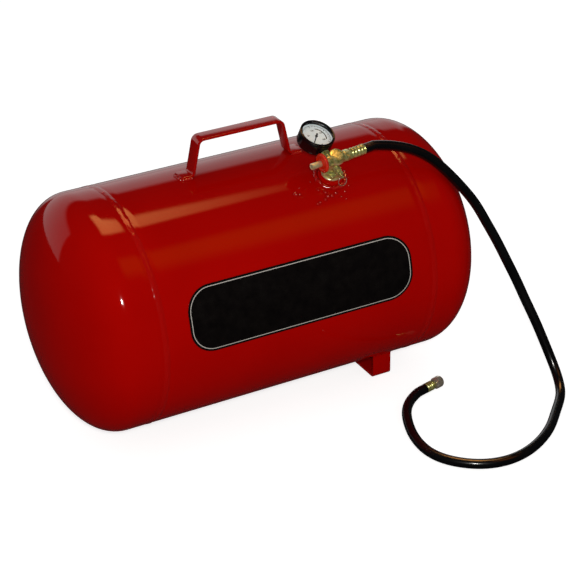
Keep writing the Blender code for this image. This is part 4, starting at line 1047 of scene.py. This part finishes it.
post = lathe("post", [
    (HEX_TOP - 0.5, 0.0), (HEX_TOP - 0.5, NECK + 1.4), (HEX_TOP + 1.2, NECK + 0.2),
    (HEX_TOP + 3.0, NECK), (CAP_BASE - 1.0, NECK), (CAP_BASE, NECK + 1.2),
    (CAP_BASE + 0.4, CAP - 0.9), (CAP_BASE + 1.5, CAP), (CAP_TOP - 2.2, CAP),
    (CAP_TOP - 0.9, CAP - 0.6), (CAP_TOP - 0.2, CAP - 2.0), (CAP_TOP, CAP - 4.0), (CAP_TOP, 0.0),
], MANIFOLD)
thread = lathe("thread", [(-9.0, 0.0), (-9.0, THREAD), (0.5, THREAD), (0.5, 0.0)], MANIFOLD)
base_hex = hexagon("base_hex", 22.0, 0.0, HEX_TOP, MANIFOLD, chamfer=1.3)
cross_bar = lathe("cross_bar", [
    (BAR_ENDS[0], 0.0), (BAR_ENDS[0], 4.4), (BAR_ENDS[0], BAR - BAR_CHAMFER),
    (BAR_ENDS[0] + BAR_CHAMFER, BAR), (-9.2, BAR), (BAR_ENDS[1] - BAR_CHAMFER, BAR),
    (BAR_ENDS[1], BAR - BAR_CHAMFER), (BAR_ENDS[1], 4.4), (BAR_ENDS[1], 0.0),
], HOSE_PORT)
bosses = []
for name, length, placing in (("gauge_boss", 9.8, GAUGE_PORT), ("safety_boss", 8.5, SAFETY)):
    bosses.append(lathe(name, [
        (0.0, 0.0), (0.0, BOSS), (length - 0.5, BOSS), (length, BOSS - 0.5), (length, 0.0),
    ], placing))
manifold = join_pieces("brass_manifold", [post, thread, base_hex, cross_bar] + bosses)
finish_piece(manifold, brass, "brass", "manifold_body")

# %% Pale rings: a painted highlight
# The skirt of the cap and the foot of the hexagon are thin rings of pale cream brass, a painted highlight where the
# lamp lights them.
SKIRT_TOP = CAP_BASE + 3.4
FOOT_TOP = 2.3
FOOT_RADIUS = 12.6
cap_skirt = lathe("cap_skirt", [
    (CAP_BASE - 0.1, NECK), (CAP_BASE - 0.1, CAP - 0.9), (CAP_BASE + 1.2, CAP + 0.1),
    (SKIRT_TOP, CAP + 0.1), (SKIRT_TOP, NECK),
], MANIFOLD)
hex_foot = lathe("hex_foot", [
    (0.0, 6.2), (0.0, FOOT_RADIUS - 0.4), (0.4, FOOT_RADIUS), (FOOT_TOP - 0.4, FOOT_RADIUS),
    (FOOT_TOP, FOOT_RADIUS - 0.4), (FOOT_TOP, 6.2),
], MANIFOLD)
highlight_bands = join_pieces("painted_highlight_bands", [cap_skirt, hex_foot])
finish_piece(highlight_bands, pale_brass_and_highlight, "brass")

# %% [markdown]
# ## Hose fittings
# A hexagonal nipple screws into the bar, and a brass ferrule is crimped over the hose. The crimping
# jaws leave rings with rounded beads between them, which catch the light in a row.

# %% Nipple and ferrules
WAVE_STEPS = 8
WAVE_POWER = 1.5


def crimped(name, ends, radius, depth, pitch, count, placing, bore):
    """A ferrule, in mm, with rounded beads between its crimped rings."""
    bottom, top = ends
    outline = [(bottom, bore), (bottom, radius - 0.5), (bottom + 0.5, radius)]
    first = (bottom + top) / 2 - pitch * count / 2
    for step in range(count * WAVE_STEPS + 1):
        wave = 0.5 + 0.5 * math.cos(math.tau * step / WAVE_STEPS)
        height = first + pitch * step / WAVE_STEPS
        outline.append((height, radius - depth * wave ** WAVE_POWER))
    outline += [(top - 0.5, radius), (top, radius - 0.5), (top, bore)]
    return lathe(name, outline, placing)


nipple_hex = hexagon("nipple_hex", 12.7, 13.2, 19.0, HOSE_PORT, chamfer=0.8)
finish_piece(nipple_hex, brass, "brass", "hose_nipple")
hose_ferrule = crimped("crimped_ferrule", (19.3, 42.5), 6.85, 1.0, 4.64, 4, HOSE_PORT, 4.5)
finish_piece(hose_ferrule, brass, "brass", "hose_ferrule")

# %% [markdown]
# ## Valve knob
# The shut-off valve has a round moulded knob of red plastic with a fluted rim, and it turns on a
# brass spindle behind a hexagonal bonnet nut. The flutes are cut by pushing every fourth strip of
# the rim inwards before the edges are rounded.

# %% Knob, in mm
KNOB = 12.2
KNOB_BACK = 17.3
KNOB_FRONT = 22.0
KNOB_BORE = 2.9
DISH = 0.7                # how deep the ring in the knob's face is
RIM_CHAMFER = (1.3, 1.6)  # along the axis, and inwards
FLUTES = 24
STRIPS = 4                # strips of the rim to each flute
FLUTE_SINK = 0.94

knob = lathe("valve_knob_moulding", [
    (KNOB_BACK, KNOB_BORE), (KNOB_BACK, KNOB - RIM_CHAMFER[1]), (KNOB_BACK + RIM_CHAMFER[0], KNOB),
    (KNOB_FRONT - RIM_CHAMFER[0], KNOB), (KNOB_FRONT, KNOB - RIM_CHAMFER[1]), (KNOB_FRONT, 8.8),
    (KNOB_FRONT - DISH, 7.8), (KNOB_FRONT - DISH, 5.6), (KNOB_FRONT, 4.9), (KNOB_FRONT, KNOB_BORE),
], UPRIGHT, segments=FLUTES * STRIPS)
pick(knob)
bpy.ops.object.mode_set(mode="EDIT")
bpy.ops.mesh.select_mode(type="VERT")
bpy.ops.mesh.select_all(action="DESELECT")
bpy.ops.object.mode_set(mode="OBJECT")
for vertex in knob.data.vertices:
    turned = math.atan2(vertex.co.y, vertex.co.x) % math.tau / math.tau
    on_strip = round(turned * FLUTES * STRIPS) % STRIPS == 0
    vertex.select = on_strip and math.hypot(vertex.co.x, vertex.co.y) > (KNOB - 0.3) * MM
bpy.ops.object.mode_set(mode="EDIT")
bpy.ops.transform.resize(value=(FLUTE_SINK, FLUTE_SINK, 1.0), center_override=(0, 0, 0))
bpy.ops.object.mode_set(mode="OBJECT")
round_corners(knob, 0.25 * MM, angle=28.0)
smooth(knob, 30.0)
settle(knob, VALVE)

# %% [markdown]
# ## Plastic: moulded and left as it comes
# The knob is red nylon with a faint mottle, duller than the paint, and the gauge's case is shiny
# black ABS. The grain that a mould leaves is under 0.1 mm, too fine to show, so it is drawn about
# 2 mm coarse, and hardly deep enough to see.

# %% Plastic finishes
def plastic_finish(name, deep, light, grain, roughness, level):
    return lay_patterns(
        name, [(0.3, deep), (0.7, light)], (grain * 4, 4.0), (grain, 2.0), roughness,
        (0.3, 0.05 * MM), gloss_follows="fine", IOR=1.5, Specular_IOR_Level=level,
    )


red_plastic = plastic_finish("moulded_red_nylon", "#B41A07", "#C4280E", 2.0 * MM, (0.25, 0.38), 0.35)
finish_piece(knob, red_plastic, "red_knob_plastic", "valve_knob", body="knob")

# %% [markdown]
# ## Valve fittings
# The bonnet nut closes the end of the bar. A tyre-type fill valve stands in the middle of the knob:
# a short tube with a bright rim and a rolled thread, and a small core with its pin inside.

# %% Bonnet nut
bonnet = hexagon("bonnet_hex", 11.0, 14.8, 17.0, VALVE, chamfer=0.7, bore=2.8)
finish_piece(bonnet, brass, "brass", "bonnet_nut")

# %% Fill valve, in mm
FILL_RADIUS = 4.0
FILL_TOP = 36.5
FILL_BORE = 2.2
THREAD_FOOT = 29.0
THREAD_RIDGES = 7
THREAD_PITCH = 1.0
THREAD_DEPTH = 0.45
fill_tube_outline = [
    (22.3, KNOB_BORE), (22.3, FILL_RADIUS - 0.2), (22.6, FILL_RADIUS), (THREAD_FOOT, FILL_RADIUS),
]
for ridge in range(THREAD_RIDGES):
    low = THREAD_FOOT + ridge * THREAD_PITCH
    root = FILL_RADIUS - THREAD_DEPTH
    fill_tube_outline += [
        (low + 0.3, root), (low + 0.5, root), (low + 0.8, FILL_RADIUS), (low + 1.0, FILL_RADIUS),
    ]
fill_tube_outline += [
    (FILL_TOP - 0.3, FILL_RADIUS - 0.3), (FILL_TOP, FILL_RADIUS - 0.7), (FILL_TOP, 2.7),
    (FILL_TOP - 0.5, FILL_BORE), (26.2, FILL_BORE), (26.2, KNOB_BORE),
]
fill_tube = lathe("fill_valve_tube", fill_tube_outline, VALVE)
finish_piece(fill_tube, pale_brass_and_highlight, "brass", "fill_valve_body", body="knob")

# %% [markdown]
# ## Safety valve
# The small relief valve stands square to the post at the front. Its hexagon screws into a boss, its
# barrel holds the spring, and pulling the wire ring lifts the disc. The ring is two turns of spring
# wire, like a key ring, through the eye of the stem.

# %% Safety valve body
relief_hex = hexagon("relief_hex", 9.0, 8.8, 11.3, SAFETY, chamfer=0.5)
relief_barrel = lathe("relief_barrel", [
    (11.0, 1.1), (11.0, 4.2), (13.2, 4.2), (13.5, 3.8), (14.0, 3.8), (14.3, 4.2), (16.8, 4.2),
    (17.5, 3.4), (17.5, 1.1),
], SAFETY, rounding=0.15 * MM)
relief_valve = join_pieces("relief_valve_body", [relief_hex, relief_barrel])
finish_piece(relief_valve, brass, "brass", "safety_body")

# %% Pull ring
RING_MEAN = 6.0 * MM
RING_WIRE = 0.6 * MM
WIRE_PRESS = 1.04         # the wire is drawn this much fatter, so that its two turns touch
RING_TURNS = 2
TURN_STEPS = 48
EYE_HEIGHT = 20.5 * MM

ring_axis = (SAFETY.to_3x3() @ Vector((1, 0, 0))).normalized()
ring_down = (Vector((0, 0, -1)) + ring_axis * ring_axis.z).normalized()
ring_normal = ring_axis.cross(ring_down)
ring_middle = SAFETY @ Vector((0, 0, EYE_HEIGHT)) + ring_down * RING_MEAN
ring_line = []
for step in range(RING_TURNS * TURN_STEPS + 1):
    angle = math.tau * step / TURN_STEPS
    spoke = ring_down * math.cos(angle) + ring_axis * math.sin(angle)
    rise = RING_WIRE * (step / (RING_TURNS * TURN_STEPS) - 0.5)
    ring_line.append(ring_middle + spoke * RING_MEAN + ring_normal * rise)
pull_ring = tube("split_pull_ring", ring_line, RING_WIRE / 2 * WIRE_PRESS)
smooth(pull_ring, 60.0)
finish_piece(pull_ring, nickel, "nickel_plate", "pull_ring", body="relief_ring")

# %% [markdown]
# ## Pressure gauge case
# A 45 mm dial gauge in a black moulded case, with a snapped-on black bezel and a clear plastic
# window. Its brass stem comes out of the rim and screws into the boss behind the cross bar.

# %% Case, bezel and stem, in mm
CASE = 22.5
CASE_BACK = -5.5
CASE_LIP = 12.3
CASE_WALL = 1.0
BEZEL_LOW = 12.5
BEZEL_TOP = 14.5
FINE_TURNING = 128        # segments of a rim that is seen close

gauge_case = lathe("gauge_case_cup", [
    (CASE_BACK, 0.0), (CASE_BACK, CASE - 4.0), (-5.0, CASE - 2.1), (-3.8, CASE - 0.7),
    (-2.2, CASE - 0.2), (10.6, CASE), (11.2, CASE - 0.5), (CASE_LIP, CASE - 0.5),
    (CASE_LIP, CASE - CASE_WALL), (-4.0, CASE - CASE_WALL), (-4.0, 0.0),
], GAUGE, FINE_TURNING, rounding=0.2 * MM)
black_plastic = plastic_finish("moulded_black_abs", "#040405", "#09090A", 1.6 * MM, (0.12, 0.2), 0.5)
finish_piece(gauge_case, black_plastic, "black_case_plastic", "gauge_case")

bezel = lathe("gauge_bezel_ring", [
    (BEZEL_LOW, CASE - 1.5), (BEZEL_LOW, CASE - 0.2), (12.7, CASE), (13.8, CASE),
    (14.3, CASE - 0.4), (BEZEL_TOP, CASE - 1.1), (14.3, CASE - 1.9), (13.3, CASE - 2.9),
    (12.7, CASE - 3.0), (BEZEL_LOW, CASE - 2.7),
], GAUGE, FINE_TURNING)
finish_piece(bezel, black_plastic, "black_case_plastic", "gauge_bezel")

stem_round = lathe("stem_round", [
    (5.8, 0.0), (5.8, 3.3), (10.4, 3.3), (10.4, 4.1), (15.6, 4.1), (15.6, 0.0),
], GAUGE_STEM)
stem_hex = hexagon("stem_hex", 12.0, 10.0, 12.5, GAUGE_STEM, chamfer=0.6)
gauge_stem = join_pieces("gauge_brass_stem", [stem_round, stem_hex])
finish_piece(gauge_stem, brass, "brass", "gauge_stem")

# %% [markdown]
# ## Dial
# The dial is a thin enamelled disc with black printing: a scale from 0 to 200 over three quarters
# of a turn, numbers at every fifty, and a broad arc over the upper half of the scale. The marks
# are flat shapes a few hundredths of a millimetre proud of the disc, so they stay crisp.

# %% Helper for thin flat plates
def plate(name, outline, bottom, top):
    """A flat outline of (x, y) points in mm, filled and extruded from bottom to top."""
    piece = draw_line(name, [Vector((x, y, bottom)) * MM for x, y in outline])
    bpy.ops.mesh.select_all(action="SELECT")
    bpy.ops.mesh.edge_face_add()
    bpy.ops.mesh.select_all(action="SELECT")
    rise = (0, 0, (top - bottom) * MM)
    bpy.ops.mesh.extrude_region_move(TRANSFORM_OT_translate={"value": rise})
    mend()
    return piece


# %% Helpers for the marks of the dial
DIAL_TOP = 7.2
INK_LOW = 7.15
INK_TOP = 7.27
INK_DEPTH = 0.06 * MM     # how deep the numbers are, and how much the ink has spread
SCALE_START = -135.0      # degrees, and the other sizes here are in mm
SCALE_SWEEP = 270.0
SCALE_END = 200
TICK_STEP = 5
TICK_TIP = 18.4


def scale_angle(value):
    return SCALE_START - SCALE_SWEEP * value / SCALE_END


def scale_point(value, radius):
    angle = math.radians(scale_angle(value))
    return radius * math.cos(angle), radius * math.sin(angle)


def scale_arc(name, start, end, inner, outer):
    """A band round part of the scale."""
    steps = max(6, round(abs(end - start) / 3))
    values = [start + (end - start) * step / steps for step in range(steps + 1)]
    outline = [scale_point(value, inner) for value in values]
    outline += [scale_point(value, outer) for value in reversed(values)]
    return plate(name, outline, INK_LOW, INK_TOP)


def tick(value):
    """One radial mark: long and thick at every fifty, shorter at ten, shortest at five."""
    if value % 50 == 0:
        root, half = 15.4, 0.34
    elif value % 10 == 0:
        root, half = 16.4, 0.22
    else:
        root, half = 17.2, 0.14
    outline = [(root, -half), (TICK_TIP, -half), (TICK_TIP, half), (root, half)]
    return settle(plate("mark", outline, INK_LOW, INK_TOP), turn(scale_angle(value), "Z"))


def numeral(words, size, x, y):
    """Printed text, made a mesh before it is placed."""
    deselect()
    bpy.ops.object.text_add(location=(0, 0, 0))
    text = bpy.context.active_object
    text.data.body = words
    text.data.size = size * MM
    text.data.extrude = INK_DEPTH
    text.data.offset = INK_DEPTH
    text.data.align_x = "CENTER"
    text.data.align_y = "CENTER"
    bpy.ops.object.convert(target="MESH")
    return settle(bpy.context.active_object, shift(x * MM, y * MM, DIAL_TOP * MM))


# %% Dial disc and its printing
dial = lathe("gauge_dial_disc", [
    (6.6, 1.3), (6.6, 21.2), (DIAL_TOP, 21.2), (DIAL_TOP, 1.3),
], GAUGE)
white_enamel = plastic_finish("white_dial_enamel", "#CEDADF", "#DAE5E9", 3.0 * MM, (0.35, 0.5), 0.3)
finish_piece(dial, white_enamel, "white_dial_enamel", "gauge_dial")

ink_pieces = [tick(value) for value in range(0, SCALE_END + 1, TICK_STEP)]
ink_pieces.append(scale_arc("scale_line", 0, SCALE_END, 18.3, 18.6))
ink_pieces.append(scale_arc("upper_arc", 118, 192, 12.4, 13.8))
for value in range(0, SCALE_END + 1, 50):
    ink_pieces.append(numeral(str(value), 3.2, *scale_point(value, 10.0)))
ink_pieces.append(numeral("psi", 2.4, 0.0, -13.5))
dial_marks = settle(join_pieces("dial_marks", ink_pieces), GAUGE)
black_ink = plastic_finish("black_printing_ink", "#0B0B0C", "#171718", 2.0 * MM, (0.5, 0.62), 0.3)
finish_piece(dial_marks, black_ink, "white_dial_enamel")

# %% [markdown]
# ## Pointer
# A stamped black pointer with a short broad tail and a round hub. It rests at zero, at the lower
# left, and sweeps clockwise.

# %% Pointer
right_edge = [(-5.0, -1.0), (-4.2, -1.15), (-1.0, -0.75), (1.0, -0.75), (15.2, -0.4)]
left_edge = [(x, -y) for x, y in reversed(right_edge)]
blade = plate("pointer_blade", right_edge + [(16.8, 0.0)] + left_edge, 8.0, 8.4)
round_corners(blade, 0.06 * MM, 2, 40.0)
settle(blade, turn(SCALE_START, "Z"))
hub = lathe("pointer_hub", [
    (7.6, 0.0), (7.6, 1.2), (7.8, 1.8), (8.5, 1.8), (8.7, 1.4), (8.7, 0.0),
], UPRIGHT, segments=48)
pointer = settle(join_pieces("pointer", [blade, hub]), GAUGE)
pointer_paint = plastic_finish("black_lacquered_tin", "#060607", "#0C0C0D", 2.0 * MM, (0.25, 0.35), 0.5)
finish_piece(pointer, pointer_paint, "black_case_plastic", "gauge_pointer", body="pointer")

# %% [markdown]
# ## Window
# A clear moulded polystyrene window, faintly domed. It is a refracting solid for the eye, and lets
# the lamps' light straight through, so the dial behind it is lit.

# %% Window
LENS_LOW = 10.9
LENS_EDGE = 11.8
LENS_RADIUS = 21.0
LENS_DOME = 0.5
LENS_STEPS = 12
HAZE = 6.0 * MM
lens_outline = [(LENS_LOW, 0.0), (LENS_LOW, LENS_RADIUS)]
for step in range(LENS_STEPS + 1):
    share = 1 - step / LENS_STEPS
    lens_outline.append((LENS_EDGE + LENS_DOME * (1 - share ** 2), LENS_RADIUS * share))
window = lathe("gauge_window", lens_outline, GAUGE)

clear_plastic, tree, shader = new_finish(
    "clear_polystyrene", IOR=1.3, Transmission_Weight=1.0, Base_Color=linear("#FAFCFC"),
)
place = add_node(tree, "TexCoord")["Object"]
haze = add_node(tree, "TexNoise", {"Vector": place, "Scale": per_metre(HAZE), "Detail": 3.0})["Fac"]
dulling = add_node(tree, "MapRange", {
    "Value": haze, "From Min": 0.4, "From Max": 0.7, "To Min": 0.0, "To Max": 0.04,
})["Result"]
tree.links.new(dulling, shader.inputs["Roughness"])
shadow_ray = add_node(tree, "LightPath")["Is Shadow Ray"]
through = add_node(tree, "BsdfTransparent")[0]
pane = add_node(tree, "MixShader", {0: shadow_ray, 1: shader.outputs[0], 2: through})[0]
tree.links.new(pane, tree.nodes["Material Output"].inputs["Surface"])
finish_piece(window, clear_plastic, "clear_lens", "gauge_lens")

# %% [markdown]
# ## Hose end
# The free end of the hose has a crimped brass ferrule, a short collar and a nickel-plated ball
# chuck: a round head with a rolled mouth, a rubber seal inside it and a pin in the middle of that.

# %% Chuck
end_ferrule = crimped("end_ferrule", (0.3, 12.3), 6.5, 0.9, 3.4, 3, CHUCK, 4.3)
finish_piece(end_ferrule, brass, "brass", "tip_ferrule")

collar = lathe("end_collar", [
    (12.5, 2.0), (12.5, 3.9), (12.8, 4.2), (13.9, 4.2), (14.2, 3.7), (14.8, 3.7), (15.1, 4.2),
    (16.0, 4.2), (16.3, 3.9), (16.3, 2.0),
], CHUCK)
finish_piece(collar, brass, "brass", "tip_nipple")

chuck = lathe("chuck_head", [
    (16.6, 2.0), (16.6, 5.9), (17.0, 6.4), (18.1, 7.6), (18.6, 7.7), (20.2, 7.7), (20.5, 7.3),
    (21.2, 7.3), (21.5, 7.7), (26.4, 7.7), (27.2, 7.5), (28.1, 7.1), (28.8, 6.5), (29.4, 5.6),
    (29.6, 5.0), (29.4, 4.5), (28.6, 4.4), (28.2, 5.7), (18.6, 5.7), (18.6, 2.0),
], CHUCK)
finish_piece(chuck, nickel, "nickel_plate", "chuck_body")

seal = lathe("chuck_seal_ring", [
    (22.4, 2.2), (22.4, 5.4), (24.0, 5.4), (24.0, 3.2), (23.6, 2.6), (23.2, 2.2),
], CHUCK, rounding=0.15 * MM)
finish_piece(seal, seal_rubber, "seal_rubber", "chuck_seal")

# %% [markdown]
# ## Small parts that keep their CAD shape
# The spindle, valve disc, springs, pins and the movement inside the gauge are right as the CAD
# model gives them, and mostly hidden. Each gets the finish of its own metal or rubber.

# %% Finishes for the remaining CAD nodes
CARRIED = {
    "valve_disc": seal_rubber, "packing_ring": seal_rubber, "valve_spindle": brass,
    "fill_valve_core": brass, "fill_valve_pin": spring_steel, "safety_poppet": brass,
    "safety_spring": spring_steel, "gauge_plate": brass, "gauge_sector": brass,
    "gauge_bourdon": brass, "chuck_pin": nickel, "chuck_spring": spring_steel,
}
for node, finish in CARRIED.items():
    piece = frame["nodes"][node]
    piece.data.materials.clear()
    piece.data.materials.append(finish)
print("finished CAD nodes:", ", ".join(sorted(CARRIED)))

# %% [markdown]
# ## Floor
# A pale floor of white paper. Light Path tells which rays look at it: the camera sees it lifted to
# white with the tank's faint shadow on it. Gloss sees the far half white as well, within a fan that
# opens 40 degrees to the right, and the rest dark: the dark studio floor, and near the tank a
# painted shade for the tank's shadow on it, so the lower half of the tank and the rim of its left
# end keep their deep red.

# %% Helpers for the studio
def masked(tree, steps):
    """1 where every (value, dark, lit) step is lit, 0 where any is dark, and smooth between."""
    mask = 1.0
    for value, dark, lit in steps:
        step = add_node(
            tree, "MapRange", {"Value": value, "From Min": dark, "From Max": lit},
            interpolation_type="SMOOTHSTEP",
        )["Result"]
        mask = add_node(tree, "Math", {0: step, 1: mask}, operation="MULTIPLY")[0]
    return mask


def ray_kinds(tree):
    """Whether a ray comes from the camera, and whether it is mirrored or passes through glass."""
    rays = add_node(tree, "LightPath")
    gloss, glass = rays["Is Glossy Ray"], rays["Is Transmission Ray"]
    return rays["Is Camera Ray"], add_node(tree, "Math", {0: gloss, 1: glass}, operation="MAXIMUM")[0]


# %% Floor
FLOOR_SIZE = 24.0
FLOOR_LIFT = 0.74         # the glow that lifts the paper to white
FAN_SLOPE = 0.84          # x for each y, along the right edge of the fan
LEFT_SLOPE = 0.1          # and along the left one
deselect()
bpy.ops.mesh.primitive_plane_add(size=FLOOR_SIZE, location=(0, 0, 0))
floor = bpy.context.active_object
floor.name = "floor"
paper, tree, shader = new_finish("white_paper", Roughness=0.9, Specular_IOR_Level=0.0)
place = add_node(tree, "TexCoord")["Object"]
mottle = add_node(tree, "TexNoise", {"Vector": place, "Scale": 3.0, "Detail": 3.0})["Fac"]
shade = add_node(tree, "ValToRGB", {"Fac": mottle}, [(0.3, "#C9C9C9"), (0.7, "#CDCDCD")])["Color"]
tree.links.new(shade, shader.inputs["Base Color"])

camera_ray, mirrored = ray_kinds(tree)
axes = add_node(tree, "SeparateXYZ", {"Vector": place})
right_edge = add_node(tree, "Math", {0: axes["Y"], 1: FAN_SLOPE}, operation="MULTIPLY")[0]
left_edge = add_node(tree, "Math", {0: axes["Y"], 1: LEFT_SLOPE}, operation="MULTIPLY")[0]
past_right = add_node(tree, "Math", {0: axes["X"], 1: right_edge}, operation="SUBTRACT")[0]
past_left = add_node(tree, "Math", {0: left_edge, 1: axes["X"]}, operation="SUBTRACT")[0]
outside_fan = add_node(tree, "Math", {0: past_right, 1: past_left}, operation="MAXIMUM")[0]
# Gloss sees the floor near the tank dark, a painted shade for the tank's shadow there; outside the fan it is the dark
# studio floor.
unshaded_far_half = masked(tree, [(axes["Y"], 0.8, 1.5), (outside_fan, 0.35, 0.1)])
gloss_floor_with_painted_shade = add_node(tree, "ValToRGB", {"Fac": unshaded_far_half}, [(0.0, "#202021"), (1.0, "#D0D0D0")])["Color"]
lift = add_node(tree, "MapRange", {"Value": camera_ray, "To Max": FLOOR_LIFT})["Result"]
shader.inputs["Emission Color"].default_value = linear("#FFFFFF")
tree.links.new(lift, shader.inputs["Emission Strength"])
reflected = add_node(tree, "Emission", {"Color": gloss_floor_with_painted_shade})[0]
seen = add_node(tree, "MixShader", {0: mirrored, 1: shader.outputs[0], 2: reflected})[0]
tree.links.new(seen, tree.nodes["Material Output"].inputs["Surface"])
floor.data.materials.append(paper)
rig.stage(floor)
print("floor", FLOOR_SIZE, "m square")

# %% [markdown]
# ## World
# The world is an even grey fill. Gloss shows more than fill, so mirror-like rays see a small
# studio: a white sheet behind the tank, up to about 27 degrees, a dark room, and two warm lights.
# One is a long soft strip high in front, and the other a smaller, brighter one nearly overhead.

# %% World
FILL_LEVEL = 0.45
SLANT = 1.6               # y lost for each x, along the slanted edge of the short strip
world = bpy.data.worlds.new("studio")
bpy.context.scene.world = world
world.use_nodes = True
tree = world.node_tree
tree.nodes.clear()
camera_ray, mirrored = ray_kinds(tree)
way = add_node(tree, "TexCoord")["Generated"]
axes = add_node(tree, "SeparateXYZ", {"Vector": way})
across, along, up = axes["X"], axes["Y"], axes["Z"]
bearing = add_node(tree, "Math", {0: across, 1: along}, operation="ARCTAN2")[0]
slanted = add_node(tree, "Math", {0: across, 1: SLANT}, operation="MULTIPLY")[0]
slant = add_node(tree, "Math", {0: along, 1: slanted}, operation="ADD")[0]
sheet = masked(tree, [(bearing, -0.86, -0.82), (bearing, 0.74, 0.66), (up, 0.51, 0.40)])
sheet_colour = add_node(tree, "ValToRGB", {"Fac": sheet}, [(0.0, "#2A2A2B"), (1.0, "#F2F2F2")])["Color"]
studio = add_node(tree, "Background", {"Color": sheet_colour, "Strength": 1.0})[0]


def warm_light(colour, strength, steps):
    """A soft patch of warm light, lit where every step in the ray's direction is."""
    level = add_node(tree, "Math", {0: masked(tree, steps), 1: strength}, operation="MULTIPLY")[0]
    return add_node(tree, "Background", {"Color": linear(colour), "Strength": level})[0]


long_strip = warm_light("#FF8A10", 1.9, [
    (along, -0.66, -0.46), (along, -0.24, -0.38), (across, 0.08, 0.30), (across, 0.62, 0.40),
    (up, 0.5, 0.65),
])
short_strip = warm_light("#FFB468", 12.0, [
    (along, 0.10, 0.17), (along, 0.58, 0.50), (slant, 0.97, 0.88), (across, -0.02, 0.12),
    (across, 0.46, 0.30), (up, 0.7, 0.8),
])
warm_pair = add_node(tree, "AddShader", {0: long_strip, 1: short_strip})[0]
studio = add_node(tree, "AddShader", {0: studio, 1: warm_pair})[0]
white = linear("#FFFFFF")
fill_light = add_node(tree, "Background", {"Color": white, "Strength": FILL_LEVEL})[0]
backdrop = add_node(tree, "Background", {"Color": white, "Strength": 1.0})[0]
gloss_or_fill = add_node(tree, "MixShader", {0: mirrored, 1: fill_light, 2: studio})[0]
all_rays = add_node(tree, "MixShader", {0: camera_ray, 1: gloss_or_fill, 2: backdrop})[0]
add_node(tree, "OutputWorld", {"Surface": all_rays})
print("world", len(tree.nodes), "nodes, fill", FILL_LEVEL)

# %% [markdown]
# ## Lamp
# One soft lamp near the camera models the round tank and leaves a small glint on the dished end.

# %% Lamp
KEY_PLACE = (-0.97, -2.05, 1.47)
KEY_TARGET = (0.0, 0.0, 0.17)
key_data = bpy.data.lights.new("key", "AREA")
key_data.shape = "RECTANGLE"
key_data.size = 0.16
key_data.size_y = 0.16
key_data.energy = 31.0
key_data.color = linear("#FFFDF8")[:3]
key = bpy.data.objects.new("key", key_data)
aim = (Vector(KEY_TARGET) - Vector(KEY_PLACE)).to_track_quat("-Z", "Y").to_matrix().to_4x4()
key.matrix_world = shift(*KEY_PLACE) @ aim
bpy.context.scene.collection.objects.link(key)
bpy.context.scene.view_settings.view_transform = "Standard"
print("key lamp", key_data.energy, "W")

carried_end = [frame["nodes"]["chuck_pin"], frame["nodes"]["chuck_spring"]]
hose_end = [piece for piece in [end_ferrule, collar, chuck, seal] + carried_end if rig.alive(piece)]
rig.cord(
    hose_tube, exit=HOSE_EXIT, length=HOSE_LENGTH, diameter=2 * HOSE_RADIUS, far_end="tool",
    stiffness="stiff", lay="loose", path=hose_line, with_pieces=hose_end,
)

visual_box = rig.bounds()
with open("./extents.json", "w") as size_file:
    boxes = {"cad": cad_box, "visual": visual_box}
    json.dump({name: [list(corner) for corner in box] for name, box in boxes.items()}, size_file)
print("visual box, mm:", [[round(v * 1000, 1) for v in corner] for corner in visual_box])
